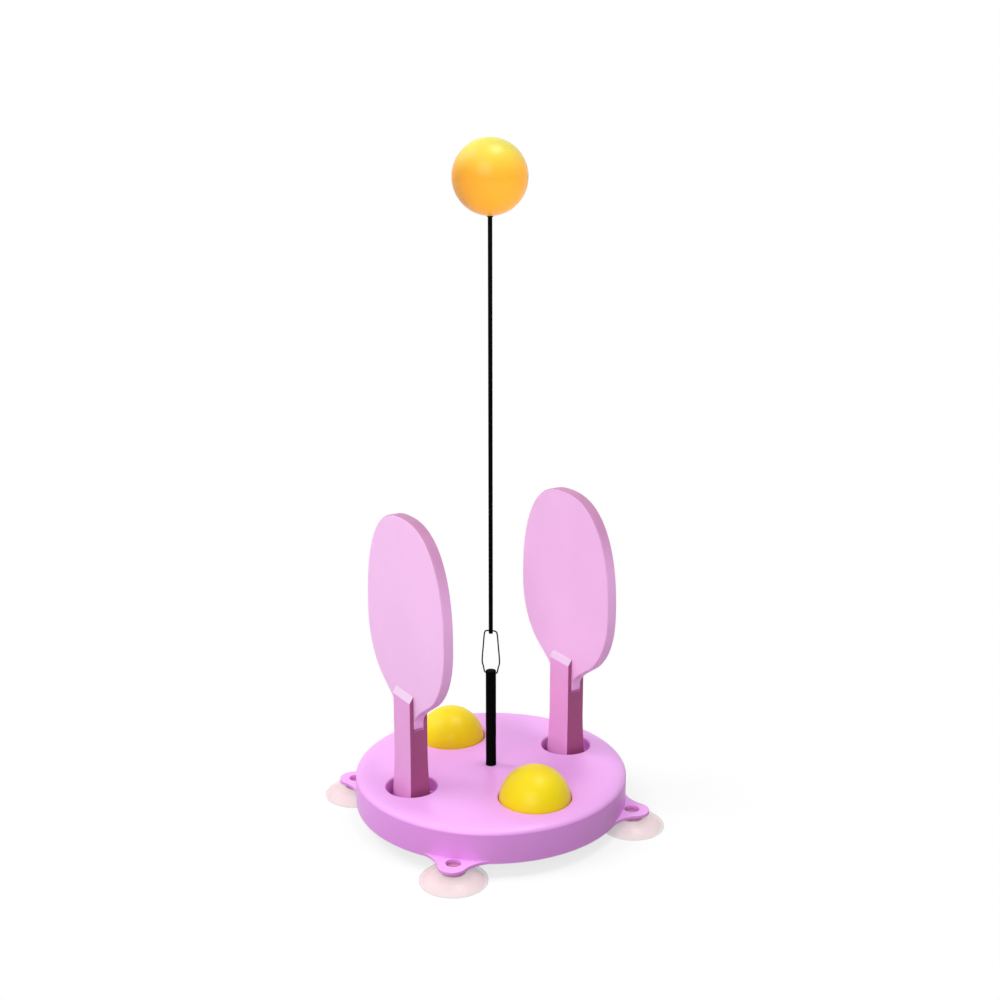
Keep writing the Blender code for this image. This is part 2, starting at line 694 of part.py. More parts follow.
def belly_point(turn):
    """A point of the blade's rounded outline: an even, slightly squared oval above, a deeper one below."""
    up = sin(turn) >= 0
    power = CROWN_POWER if up else BELLY_POWER
    height = BLADE_TOP - BLADE_MIDDLE if up else BLADE_BELLY
    across = BLADE_HALF_WIDTH * abs(cos(turn)) ** (2 / power)
    along = height * abs(sin(turn)) ** (2 / power)
    return (across, BLADE_MIDDLE + (along if up else -along))


def bezier(ends, steps):
    a, b, c, d = (Vector(p) for p in ends)
    found = []
    for i in range(1, steps + 1):
        t = i / steps
        found.append(a * (1 - t) ** 3 + b * 3 * t * (1 - t) ** 2 + c * 3 * t**2 * (1 - t) + d * t**3)
    return [tuple(p) for p in found]


def blade_outline():
    """Half the outline from the crown down to the tongue, mirrored: crown, belly, hollow neck, rounded tongue end."""
    crown = [belly_point(pi / 2 - pi / 2 * i / CROWN_STEPS) for i in range(CROWN_STEPS + 1)]
    neck_share = (NECK_START / BLADE_HALF_WIDTH) ** (BELLY_POWER / 2)
    end_turn = acos(neck_share)
    belly = [belly_point(-end_turn * i / BELLY_STEPS) for i in range(1, BELLY_STEPS + 1)]
    start = Vector(belly[-1])
    bend = 2 / BELLY_POWER - 1
    slope = Vector(
        (
            -BLADE_HALF_WIDTH * cos(end_turn) ** bend * sin(end_turn),
            -BLADE_BELLY * sin(end_turn) ** bend * cos(end_turn),
        )
    ).normalized()
    tongue_half = HANDLE_WIDTH / 2
    end = Vector((tongue_half, TONGUE_END + TONGUE_CORNER))
    neck = bezier([start, start + slope * NECK_SWEEP, end + Vector((0, NECK_RISE)), end], NECK_STEPS)
    corner = arc((tongue_half - TONGUE_CORNER, TONGUE_END + TONGUE_CORNER), TONGUE_CORNER, 0, -pi / 2, 4)
    half = crown + belly + neck + corner[1:]
    return half + [(-x, z) for x, z in reversed(half[1:])]


def racket_blade(name, look, parent):
    upright = Matrix.Rotation(pi / 2, 4, "Z") @ Matrix.Rotation(pi / 2, 4, "X")
    to_place = upright @ Matrix.Translation((0, 0, -BLADE_THICKNESS / 2))
    mesh = prism(name, blade_outline(), BLADE_THICKNESS, to_place)
    blade = placed(name, mesh, look, parent=parent)
    edge = blade.modifiers.new("edge_round", "BEVEL")
    edge.width = BLADE_EDGE_ROUND
    edge.segments = 2
    edge.limit_method = "ANGLE"
    edge.angle_limit = radians(60)
    return blade


def rounded_rectangle(half_x, half_y, corner, steps):
    found = []
    for x, y, start in ((1, 1, 0), (-1, 1, pi / 2), (-1, -1, pi), (1, -1, 3 * pi / 2)):
        centre = (x * (half_x - corner), y * (half_y - corner))
        found += arc(centre, corner, start, start + pi / 2, steps)
    return found


def lofted(name, sections):
    """A closed solid through level outlines of as many points each, given as (height, outline), bottom first."""
    bm = bmesh.new()
    rings = [[bm.verts.new((x, y, height)) for x, y in outline] for height, outline in sections]
    for low, high in zip(rings, rings[1:]):
        for i in range(len(low)):
            k = (i + 1) % len(low)
            bm.faces.new((low[i], low[k], high[k], high[i]))
    bm.faces.new(rings[0])
    bm.faces.new(rings[-1])
    return finish_mesh(bm, name)


def handle_section(height):
    """The handle's outline at a height, spread by the flare towards its foot."""
    share = max(0.0, (FLARE_TOP - height) / (FLARE_TOP - HANDLE_FOOT))
    spread = HANDLE_FLARE * share**FLARE_POWER
    return height, rounded_rectangle(HANDLE_DEPTH / 2 + spread, HANDLE_WIDTH / 2 + spread, HANDLE_CORNER, 3)


def racket_handle(name, look, parent):
    tip = HANDLE_SHOULDER + SCALE_CHAMFER_HEIGHT
    flare = [HANDLE_FOOT + (FLARE_TOP - HANDLE_FOOT) * i / FLARE_STEPS for i in range(FLARE_STEPS + 1)]
    levels = flare + [tip]
    handle = placed(name, lofted(name, [handle_section(z) for z in levels]), look, parent=parent)
    slot_half = BLADE_THICKNESS / 2 + FLAT_GAP
    wide = HANDLE_WIDTH
    slot = box("slot", (-slot_half, -wide, TONGUE_END - FLAT_GAP), (slot_half, wide, tip + CUT_PAST))
    combine(handle, placed("cut_slot_" + name, slot, look, parent=parent), "DIFFERENCE")
    outer = HANDLE_DEPTH / 2
    rise = SCALE_CHAMFER_HEIGHT / SCALE_THICKNESS
    beyond = outer + CUT_PAST
    under = HANDLE_SHOULDER - CUT_PAST * rise
    inner_tip = HANDLE_SHOULDER + rise * (outer - slot_half + CUT_PAST)
    wedge = [(beyond, under), (beyond, inner_tip), (slot_half - CUT_PAST, inner_tip)]
    upright = Matrix.Rotation(pi / 2, 4, "X") @ Matrix.Translation((0, 0, -wide))
    for side, turn in (("outer", 0), ("inner", pi)):
        mesh = prism("wedge", wedge, 2 * wide, Matrix.Rotation(turn, 4, "Z") @ upright)
        combine(handle, placed("cut_wedge_" + side + "_" + name, mesh, look, parent=parent), "DIFFERENCE")
    return handle


# The whole object

def clear_scene():
    for found in list(bpy.data.objects):
        bpy.data.objects.remove(found, do_unlink=True)


def main():
    clear_scene()
    looks = materials()
    base_shell(looks["pink"])
    bottom_cover(looks["pink"])
    cover_screws(looks["steel"])
    suction_cups(looks["rubber"])
    post(looks["black"])
    post_fixings(looks["steel"])
    loop_pivot = pivot("loop_pivot", (0, 0, LOOP_FOOT), LOOP_TURN)
    spring_loop(looks["wire"], loop_pivot)
    shaft_pivot = pivot("shaft_pivot", (0, 0, LOOP_HEIGHT), parent=loop_pivot)
    shaft(looks["black"], shaft_pivot)
    ball_plug(looks["black"], shaft_pivot)
    ball_pivot = pivot("top_ball_pivot", (0, 0, TOP_BALL_HEIGHT - LOOP_TOP), parent=shaft_pivot)
    ball("top_ball", looks["yellow"], ball_pivot, PLUG_HOLE_RADIUS)
    for name, (x, y) in BALL_PLACES.items():
        ball("spare_ball_" + name, looks["yellow"], pivot("spare_ball_pivot_" + name, (x, y, BALL_HEIGHT)))
    for name, (x, y) in RACKET_PLACES.items():
        lift = pivot("racket_pivot_" + name, (x, y, 0))
        racket_handle("racket_" + name + "_handle", looks["pink"], lift)
        racket_blade("racket_" + name + "_blade", looks["pink"], lift)


main()
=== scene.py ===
"""The looks of a table tennis trainer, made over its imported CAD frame.

Run as a script, it registers its settings, operators and panel, and then makes every piece once.
A new piece is a surface worked out with numpy, in metres, where the frame has the node that it stands for.
"""

import json

import bmesh
import bpy
import numpy as np
from bpy.props import FloatProperty, FloatVectorProperty, PointerProperty
from mathutils import Matrix, Vector
from numpy import arccos, arctan2, cos, pi, sin, sqrt, tan


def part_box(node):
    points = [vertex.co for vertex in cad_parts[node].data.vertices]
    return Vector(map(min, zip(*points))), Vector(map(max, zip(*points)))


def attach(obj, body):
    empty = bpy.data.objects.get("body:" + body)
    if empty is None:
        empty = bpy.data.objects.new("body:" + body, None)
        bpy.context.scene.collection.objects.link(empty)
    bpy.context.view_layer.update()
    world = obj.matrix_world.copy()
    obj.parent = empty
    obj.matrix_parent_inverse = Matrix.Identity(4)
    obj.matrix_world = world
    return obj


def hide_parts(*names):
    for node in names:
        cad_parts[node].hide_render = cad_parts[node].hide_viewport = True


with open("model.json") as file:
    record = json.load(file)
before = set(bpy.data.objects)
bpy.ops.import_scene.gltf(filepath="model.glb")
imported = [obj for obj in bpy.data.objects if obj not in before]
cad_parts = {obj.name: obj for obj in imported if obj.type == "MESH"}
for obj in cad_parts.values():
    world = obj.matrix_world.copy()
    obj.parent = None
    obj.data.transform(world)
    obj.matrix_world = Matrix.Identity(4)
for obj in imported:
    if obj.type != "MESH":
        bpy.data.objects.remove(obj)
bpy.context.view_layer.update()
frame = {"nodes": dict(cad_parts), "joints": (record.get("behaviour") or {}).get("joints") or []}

bl_info = {
    "name": "Table Tennis Trainer",
    "version": (1, 0, 0),
    "blender": (4, 5, 0),
    "location": "3D View > Sidebar > Trainer",
    "description": "Makes the finished surfaces, materials and stage of a table tennis trainer",
    "category": "Add Mesh",
}

DIAGONALS = ("rear_right", "rear_left", "front_left", "front_right")
SPARE_BALLS = ("front", "rear")
RACKETS = ("left", "right")
PICTURE = 1000  # pixels, the picture's width and height

# Metres: points this close are one, an edge this short is none, and slivers left by carving are shorter
SAME_POINT, NO_LENGTH, SLIVER = 1e-7, 1e-8, 1e-6

# Facets round each turned surface
STEPS_ROUND = {
    "base_moulding": 256, "cover_plate": 256, "bowl": 128, "bowl_hollow": 128, "ball_half": 112, "cup": 112,
    "well": 96, "well_hollow": 96, "cover_hole": 96, "floor": 96, "collar": 64, "lug_hole": 64,
    "centre_boss": 64, "post_shank": 64, "rod_plug": 64, "post_bore": 48, "countersink": 48,
    "cover_screw": 48, "rod": 48, "screw_boss": 32, "eye": 32, "screw_bore": 24,
}

# A profile's corner, a shaded surface's bend and a carved edge count as sharp past these angles
SHARP_CORNER, CREASE, SHARP_EDGE = np.radians(25), np.radians(35), np.radians(40)

# Steps round a softened corner and along a span of the wire, and points along the blade's outline
CORNER_STEPS, SPAN_STEPS = 4, 14
BLADE_POINTS = {"crown": 300, "belly": 200, "neck": 120, "outline": 760}

# Radians past the blade's widest point where its lower outline takes over
PAST_WIDEST = 1e-6

# Slope at which a pocket's rounded mouth runs out just above the base's top
MOUTH_SLOPE = np.radians(18)

# Object noise per metre, and the middle range that such noise keeps to
TONE_SCALE, GLOSS_SCALE, STREAK_SCALE = 22.0, 140.0, 3000.0
NOISE_MIDDLE = (0.3, 0.7)

# The noise of a metal's streaks is drawn out along Z, and they run between these tones
STREAK_STRETCH, STREAK_TONES = (1, 1, 0.05), (0.85, 1.0)

# A cup's opacity seen face on and edge on, and the blend between the two
CUP_OPACITY, CUP_EDGE = (0.2, 0.4), 0.35

# Depth of a surface's grain in metres
GRAIN, FINE_GRAIN = 0.00002, 0.00001

# Azimuth and height in degrees as the camera's user sees them, where 0 is right and -90 is towards the camera
LIGHTS = {"key": (-107, 30), "left": (180, 55), "rear_left": (150, 40), "overhead": (8, 78)}
BALL_LIGHT, BALL_LIGHT_NEAR, BALL_LIGHT_SPREAD = (-52, -26), 0.15, np.radians(8)

# The floor in base radii: its reach, where its own shade changes, and where it fades to white
FLOOR_REACH, FLOOR_SHADE, FLOOR_FADE = 40, (1, 5), (1, 3)


# Places and sizes that the frame gives

def low(node):
    return np.array(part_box(node)[0])


def high(node):
    return np.array(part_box(node)[1])


def middle(node):
    return (low(node) + high(node)) / 2


def half(node):
    return (high(node) - low(node)) / 2


def footing(node):
    """The point on the ground straight below a node's middle."""
    return middle(node) * [1, 1, 0]


def joint_height(name):
    return next(joint["pos_m"][2] for joint in frame["joints"] if joint["name"] == name)


BASE_RADIUS = high("base_shell")[0]
BASE_TOP = high("base_shell")[2]
COLLAR_FOOT = low("base_shell")[2]
UNDERSIDE = low("bottom_cover")[2]
COVER_TOP = high("bottom_cover")[2]
COVER_RADIUS = high("bottom_cover")[0]
CUP_RIM = half("suction_cup_rear_right")[0]
CUP_TOP = high("suction_cup_rear_right")[2]
SCREW_HEAD = half("cover_screw_rear_right")[0]
SCREW_TIP = high("cover_screw_rear_right")[2]
BALL_RADIUS = half("top_ball_upper")[0]
TOP_BALL_CENTRE = joint_height("ball_spin")
SPARE_BALL_CENTRE = (high("spare_ball_front_upper")[2] + low("spare_ball_front_lower")[2]) / 2
POST_RADIUS = half("post")[0]
POST_TOP = high("post")[2]
POST_TAIL = low("post")[2]
LOOP_FOOT = joint_height("loop_sway")
LOOP_TOP = joint_height("shaft_sway")
ROD_TOP = high("shaft")[2]
PLUG_TOP = high("ball_plug")[2]
BLADE_HALF_WIDTH = half("racket_left_blade")[1]
BLADE_THICKNESS = 2 * half("racket_left_blade")[0]
BLADE_TOP = high("racket_left_blade")[2]
TONGUE_END = low("racket_left_blade")[2]
HANDLE_FOOT = low("racket_left_handle")[2]
HANDLE_TIP = high("racket_left_handle")[2]


# Settings

def length(name, description, millimetres):
    return FloatProperty(
        name=name, description=description, default=millimetres / 1000, min=0.0, precision=5, unit="LENGTH"
    )


def plain(name, description, default):
    return FloatProperty(name=name, description=description, default=default)


def turn(name, description, degrees):
    return FloatProperty(name=name, description=description, default=np.radians(degrees), unit="ROTATION")


def colour(name, description, default):
    return FloatVectorProperty(
        name=name, description=description, default=default, size=3, min=0.0, max=1.0, subtype="COLOR"
    )


class BaseSettings(bpy.types.PropertyGroup):
    crown_width: length("Crown width", "How far in from the rim the top starts to round", 10)
    crown_height: length("Crown height", "How far down the rounding reaches", 4)
    wall: length("Wall", "Thickness of the side wall and of the top plate", 2.4)
    edge: length("Edge", "Rounding of the small edges", 0.4)
    mouth_round: length("Mouth rounding", "Rounding of the pockets' mouths", 1.2)
    seat_gap: length("Seat gap", "Gap round the balls, handles and screws, and over the cover", 0.3)
    pocket_wall: length("Pocket wall", "Wall of the bowls and the wells", 1.8)
    well_radius: length("Well radius", "Inside radius of a racket well", 14.3)
    well_rib: length("Well rib", "Thickness of a rib in a racket well", 1.4)
    well_rib_top: length("Well rib top", "Height of the tops of those ribs", 21.5)
    rib: length("Rib", "Thickness of a stiffening rib under the top", 1.6)
    rib_depth: length("Rib depth", "Depth of a stiffening rib", 8)
    lug_thickness: length("Lug thickness", "Thickness of a suction cup's lug", 2)
    lug_nose: length("Lug nose", "How far the middle of a lug's tip lies past its hole", 2)
    lug_tip: length("Lug tip", "Radius of a lug's round tip", 8)
    lug_fillet: length("Lug fillet", "Radius where a lug flows into the side", 20)
    lug_hole: length("Lug hole", "Radius of the hole in a lug", 4.15)
    collar: length("Collar", "Outside radius of the collar under a lug", 6.5)
    collar_lip: length("Collar lip", "Height of the lip that holds a cup's head", 0.9)
    screw_boss: length("Screw boss", "Radius of a screw boss", 4)
    centre_boss: length("Centre boss", "Radius of the boss that holds the post", 8)
    centre_boss_end: length("Centre boss end", "Height of that boss's lower end", 15.6)
    post_step: length("Post step", "Height of the step that the post rests on", 20.8)


class CupSettings(bpy.types.PropertyGroup):
    rim_width: length("Rim width", "Width of the flat rim that seals", 1.5)
    rim_thickness: length("Rim thickness", "Thickness at the rim", 0.8)
    rise: length("Rise", "Height of the dome above the rim", 7.2)
    wall: length("Wall", "Thickness of the dome", 1.5)
    neck: length("Neck", "Radius of the neck in the lug's collar", 3.5)
    head: length("Head", "Radius of the mushroom head", 4.7)
    gap: length("Gap", "Gap to the collar", 0.3)


class RodSettings(bpy.types.PropertyGroup):
    post_tail: length("Post tail", "Radius of the post's lower tail", 2.5)
    post_shoulder: length("Post shoulder", "Height of the post's shoulder", 21.1)
    edge: length("Edge", "Rounding of the post's edges", 0.3)
    wire: length("Wire", "Radius of the spring wire", 0.4)
    belly: length("Belly", "Half the loop's width at its widest", 5.05)
    belly_height: length("Belly height", "Height of the widest point above the loop's foot", 7.2)
    shoulder: length("Shoulder", "Half the loop's width at its shoulders", 3.7)
    heel: length("Heel", "Size of the wire's first bend beside the post", 0.8)
    corner: length("Corner", "Height of the loop's upper corners", 1.8)
    loop_turn: turn("Loop turn", "Turn of the loop about the post", -45)
    running_gap: length("Running gap", "Gap between the wire and its eye or slot", 0.1)
    rod: length("Rod", "Radius of the rod", 1.2)
    rod_below: length("Rod below wire", "How far the rod's foot reaches below the wire", 1.6)
    rod_sway: turn("Rod sway", "How far the rod rocks on the wire, each way", 18)
    plug_neck: length("Plug neck", "Radius of the plug in the ball's hole", 1.6)
    plug_lip: length("Plug lip", "Radius of the plug's lip under the ball", 1.8)
    plug_lip_depth: length("Plug lip depth", "Depth of that lip", 0.35)
    plug_flange: length("Plug flange", "Radius of the plug's flange in the ball", 3.2)
    plug_flange_depth: length("Plug flange depth", "Depth of that flange", 0.9)


class BallSettings(bpy.types.PropertyGroup):
    wall: length("Wall", "Thickness of a ball's wall", 0.5)
    seam: length("Seam", "Half the width of the seam between a ball's halves", 0.01)
    seam_edge: length("Seam edge", "Rounding of the halves' edges at the seam", 0.03)
    hole: length("Hole", "Radius of the hole for the rod's plug", 1.7)


class RacketSettings(bpy.types.PropertyGroup):
    widest: length("Widest", "Height of the blade's widest point", 124)
    belly: length("Belly", "Depth of the blade below its widest point", 46)
    crown_power: plain("Crown power", "Squareness of the blade's upper outline", 2.4)
    belly_power: plain("Belly power", "Squareness of the blade's lower outline", 2.2)
    neck_start: length("Neck start", "Half the width where the hollow neck starts", 26)
    neck_sweep: length("Neck sweep", "How far the belly's line carries on into the neck", 13)
    neck_rise: length("Neck rise", "How far the tongue's line carries on up into the neck", 7)
    tongue_corner: length("Tongue corner", "Radius of the tongue's corners", 2)
    blade_edge: length("Blade edge", "Rounding of the blade's edge", 0.6)
    width: length("Width", "Width of the handle above its flare", 19.5)
    scale: length("Scale", "Thickness of the handle on each side of the blade", 2.4)
    gap: length("Gap", "Gap between the blade and the handle", 0.15)
    corner: length("Corner", "Radius of the handle's upright edges", 0.7)
    shoulder: length("Shoulder", "Height where the scales' sloping tops start", 82.5)
    flare: length("Flare", "How far the handle spreads at its foot", 1.5)
    flare_power: plain("Flare power", "How late the flare sets in towards the foot", 1.5)
    flare_top: length("Flare top", "Height where the flare ends", 50)
    edge: length("Edge", "Rounding of the handle's other edges", 0.25)


class ColourSettings(bpy.types.PropertyGroup):
    base: colour("Base", "Lilac pink of the base", (0.81, 0.385, 0.835))
    # Painted shade: the base's upright faces get a deeper, more saturated pink than its top, standing in for
    # the shade on its walls
    base_side: colour("Base side", "Deeper pink of the base's upright faces", (0.90, 0.35, 0.92))
    blade: colour("Blade", "Pink of the rackets' blades", (0.93, 0.525, 0.88))
    # Painted shade: the blades' rims get a deeper pink than their faces, darkening further towards the top
    blade_rim: colour("Blade rim", "Pink of the blades' rims, low down", (0.94, 0.48, 0.88))
    blade_rim_top: colour("Blade rim's top", "Deeper pink of the blades' rims, high up", (0.48, 0.20, 0.38))
    handle: colour("Handle", "Rose pink of the handles' broad faces", (0.84, 0.365, 0.735))
    # Painted shade on the handles' narrow sides, in plum, and painted light on their sloping tops, in pale
    # pink
    handle_side: colour("Handle side", "Plum of the handles' narrow sides", (0.385, 0.082, 0.225))
    handle_top: colour("Handle top", "Pale pink of the handles' sloping tops", (0.79, 0.58, 0.79))
    spare_ball: colour("Spare ball", "Yellow of the spare balls", (0.92, 0.725, 0.002))
    top_ball: colour("Top ball", "Orange of the top ball's lower part", (0.785, 0.33, 0.02))
    # Painted light: the top ball's upper part is a paler yellow, as if lit from above
    top_ball_crown: colour("Top ball's crown", "Yellow of the top ball's upper part", (0.69, 0.63, 0.065))
    cup: colour("Cup", "Faint pink of the clear cups", (0.90, 0.50, 0.56))
    black: colour("Black", "Black of the post, the spring wire, the rod and its plug", (0.003, 0.003, 0.003))
    steel: colour("Steel", "Grey of the screws, the washer and the nut", (0.62, 0.62, 0.64))


class StageSettings(bpy.types.PropertyGroup):
    distance: length("Distance", "Camera's distance from its sight point on the object's axis", 850)
    sight_height: length("Sight height", "Height of that point", 25)
    elevation: turn("Elevation", "Camera's height above the horizon", 26.1)
    azimuth: turn("Azimuth", "Turn of the view about the object, from looking along +Y", -31)
    focal_pixels: plain("Focal pixels", "Distance of the picture plane, in the picture's pixels", 1440.75)
    sight_across: plain("Sight across", "Pixel across where the sight point lies", 490.2)
    sight_down: plain("Sight down", "Pixel down where the sight point lies", 769.7)
    sky: plain("Sky", "Strength of the plain light from all round", 0.24)
    key: plain("Key", "Power of the main light, beside the camera on its left", 70.5)
    left: plain("Left", "Power of the light high on the left", 80.0)
    rear_left: plain("Rear left", "Power of the light behind on the left", 22.5)
    overhead: plain("Overhead", "Power of the light overhead", 61.0)
    overhead_size: length("Overhead size", "Width of the light overhead", 1400)
    ball_light: plain("Ball light", "Power of the small light on the top ball's shaded side", 0.06)
    ball_light_size: length("Ball light size", "Width of that small light", 150)
    light_distance: length("Light distance", "Distance of the lights from the object", 4000)
    light_size: length("Light size", "Width of a light", 2400)
    floor_near: colour("Floor near", "Floor beside the object, as it lights the object", (0.10, 0.10, 0.10))
    floor_far: colour("Floor far", "Floor further out, as it lights the object", (0.70, 0.70, 0.70))
    floor_seen: colour("Floor seen", "Floor as the camera sees it", (0.95, 0.95, 0.95))
    floor_white: plain("Floor white", "Share of plain white in the floor as the camera sees it", 0.75)


class TrainerSettings(bpy.types.PropertyGroup):
    base: PointerProperty(type=BaseSettings)
    cups: PointerProperty(type=CupSettings)
    rod: PointerProperty(type=RodSettings)
    balls: PointerProperty(type=BallSettings)
    rackets: PointerProperty(type=RacketSettings)
    colours: PointerProperty(type=ColourSettings)
    stage: PointerProperty(type=StageSettings)


# Curves and surfaces

def arc(centre, radius, start, end, steps=24):
    """Points of a circle: the centre plus the radius times the cosine and sine of evenly spaced angles."""
    turns = np.linspace(start, end, steps + 1)
    return np.array(centre) + radius * np.stack([cos(turns), sin(turns)], axis=1)


def drum(radius, first, last):
    """A plain drum's profile, from the middle of one face, at the first height, round to the other's."""
    return [(0, first), (radius, first), (radius, last), (0, last)]


def softened(profile, radius):
    """A profile with its sharp corners rounded.

    Each corner P becomes the curve (1-t)^2 A + 2t(1-t) P + t^2 B, where A and B lie the radius away from P
    along its two sides, or half a side where that is less. A gentle corner stays a point.
    """
    profile = np.asarray(profile, float)
    corner = profile[1:-1]
    back, ahead = profile[:-2] - corner, profile[2:] - corner
    back_length = np.linalg.norm(back, axis=1)
    ahead_length = np.linalg.norm(ahead, axis=1)
    bend = pi - arccos(np.clip((back * ahead).sum(1) / (back_length * ahead_length), -1, 1))
    reach = np.where(bend > SHARP_CORNER, np.minimum(radius, np.minimum(back_length, ahead_length) / 2), 0)
    start = corner + back * (reach / back_length)[:, None]
    end = corner + ahead * (reach / ahead_length)[:, None]
    t = np.linspace(0, 1, CORNER_STEPS + 1)[None, :, None]
    curves = (1 - t) ** 2 * start[:, None] + 2 * t * (1 - t) * corner[:, None] + t**2 * end[:, None]
    return np.concatenate([profile[:1], curves.reshape(-1, 2), profile[-1:]])


def turned(profile, steps):
    """A surface of revolution: (r cos a, r sin a, z) for each (r, z) of the profile and each angle a."""
    radius, height = np.asarray(profile, float).T
    angle = 2 * pi * np.arange(steps) / steps
    ring = np.stack([cos(angle), sin(angle), np.ones(steps)])
    scale = np.stack([radius, radius, height])
    return np.einsum("kr,kc->rck", scale, ring)


def outward(outline):
    """Unit normals of an anticlockwise outline: its tangent, turned by a quarter turn clockwise."""
    tangent = np.roll(outline, -1, axis=0) - np.roll(outline, 1, axis=0)
    normal = np.stack([tangent[:, 1], -tangent[:, 0]], axis=1)
    return normal / np.linalg.norm(normal, axis=1)[:, None]


def edge_run(low_z, high_z, edge, steps):
    """Insets and heights down over a plate's rounded edges.

    The inset is edge (1 - sin a) at edge (1 - cos a) from a face, for a from 0 to a quarter turn.
    """
    angle = np.linspace(0, pi / 2, steps + 1)
    inset, drop = edge * (1 - sin(angle)), edge * (1 - cos(angle))
    return np.concatenate([inset, inset[::-1]]), np.concatenate([high_z - drop, low_z + drop[::-1]])


def stacked(rings, heights, centre=(0, 0)):
    """Flat rings set at their heights, and closed at both ends by a fan round a centre."""
    rings = np.concatenate([rings, np.broadcast_to(heights[:, None, None], (*rings.shape[:2], 1))], axis=2)
    ends = [np.broadcast_to((*centre, height), rings[:1].shape) for height in heights[[0, -1]]]
    return np.concatenate([ends[0], rings, ends[1]])


def plate(outline, centre, low_z, high_z, edge=0.0, steps=1):
    """A flat plate: its outline drawn in along its normals, by the insets of its rounded edges."""
    insets, heights = edge_run(low_z, high_z, edge, steps)
    return stacked(outline[None] - insets[:, None, None] * outward(outline)[None], heights, centre)


def evenly(outline, count):
    """A closed outline read again at even steps of its length."""
    closed = np.concatenate([outline, outline[:1]])
    run = np.concatenate([[0], np.cumsum(np.linalg.norm(np.diff(closed, axis=0), axis=1))])
    wanted = np.linspace(0, run[-1], count, endpoint=False)
    return np.stack([np.interp(wanted, run, closed[:, axis]) for axis in (0, 1)], axis=1)


def tube(path, normal, radius, sides):
    """A closed tube round a closed flat path: at each point, a circle across the path's tangent."""
    tangent = np.roll(path, -1, axis=0) - np.roll(path, 1, axis=0)
    tangent /= np.linalg.norm(tangent, axis=1)[:, None]
    across = np.cross(tangent, normal)
    angle = 2 * pi * np.arange(sides) / sides
    circle = cos(angle)[None, :, None] * across[:, None] + sin(angle)[None, :, None] * np.asarray(normal)
    return path[:, None] + radius * circle


# Meshes

def surface(name, points, ring=False):
    """A mesh over a grid of points whose columns close on themselves, and whose rows do too for a ring."""
    rows, columns = points.shape[:2]
    row = np.arange(rows if ring else rows - 1)[:, None]
    column = np.arange(columns)[None]
    next_row, next_column = (row + 1) % rows, (column + 1) % columns
    corners = (
        row * columns + column,
        row * columns + next_column,
        next_row * columns + next_column,
        next_row * columns + column,
    )
    mesh = bpy.data.meshes.new(name)
    mesh.from_pydata(points.reshape(-1, 3).tolist(), [], np.stack(corners, axis=-1).reshape(-1, 4).tolist())
    bm = bmesh.new()
    bm.from_mesh(mesh)
    bmesh.ops.remove_doubles(bm, verts=bm.verts, dist=SAME_POINT)
    bmesh.ops.dissolve_degenerate(bm, edges=bm.edges, dist=NO_LENGTH)
    bmesh.ops.delete(bm, geom=[edge for edge in bm.edges if edge.is_wire], context="EDGES")
    bmesh.ops.recalc_face_normals(bm, faces=bm.faces)
    bm.to_mesh(mesh)
    bm.free()
    return mesh


def moved(mesh, place=(0, 0, 0), angle=0.0):
    mesh.transform(Matrix.Translation(place) @ Matrix.Rotation(angle, 4, "Z"))
    return mesh


def lathed(name, profile, place=(0, 0, 0), ring=False):
    """A profile turned about Z and set at its place, in as many facets as the table gives its name."""
    return moved(surface(name, turned(profile, STEPS_ROUND[name]), ring), place)


def block(name, low_corner, high_corner):
    """A box between two corners, for a rib, a slot or a recess."""
    bm = bmesh.new()
    bmesh.ops.create_cube(bm, size=1)
    size = np.subtract(high_corner, low_corner)
    centre = np.add(low_corner, high_corner) / 2
    bmesh.ops.transform(bm, matrix=Matrix.Translation(centre) @ Matrix.Diagonal((*size, 1)), verts=bm.verts)
    mesh = bpy.data.meshes.new(name)
    bm.to_mesh(mesh)
    bm.free()
    return mesh


def carved(mesh, joined=(), cut=()):
    """A mesh with tools joined to it and then tools cut from it, in order."""
    blank = bpy.data.objects.new(mesh.name, mesh)
    tools = [bpy.data.objects.new(tool.name, tool) for tool in (*joined, *cut)]
    operations = ["UNION"] * len(joined) + ["DIFFERENCE"] * len(cut)
    for thing in (blank, *tools):
        bpy.context.scene.collection.objects.link(thing)
    for tool, operation in zip(tools, operations):
        step = blank.modifiers.new(tool.name, "BOOLEAN")
        step.operation = operation
        step.solver = "MANIFOLD"
        step.object = tool
    made = bpy.data.meshes.new_from_object(blank.evaluated_get(bpy.context.evaluated_depsgraph_get()))
    for thing in (blank, *tools):
        bpy.data.objects.remove(thing)
    drop_slivers(made)
    return made


def neighbourhood(face):
    """A face and all the faces that share an edge with it."""
    return {other for edge in face.edges for other in edge.link_faces}


def drop_slivers(mesh):
    """Takes out what carving leaves where surfaces graze: very short edges, and flat pairs of faces."""
    bm = bmesh.new()
    bm.from_mesh(mesh)
    bmesh.ops.dissolve_degenerate(bm, edges=bm.edges, dist=SLIVER)
    loose = [face for face in bm.faces if len(neighbourhood(face)) == 2]
    bmesh.ops.delete(bm, geom=loose, context="FACES")
    bm.to_mesh(mesh)
    bm.free()


def mark_faces(mesh, **rules):
    """Masks on the mesh's corners, from 0 to 1, by rules for how far a face looks along X, Y and up."""
    faces = len(mesh.polygons)
    normals = np.empty(faces * 3)
    corners = np.empty(faces, int)
    mesh.polygons.foreach_get("normal", normals)
    mesh.polygons.foreach_get("loop_total", corners)
    directions = np.abs(normals.reshape(-1, 3)).T
    for name, rule in rules.items():
        mask = mesh.attributes.new(name, "FLOAT", "CORNER")
        mask.data.foreach_set("value", np.repeat(rule(*directions).astype(np.float32), corners))


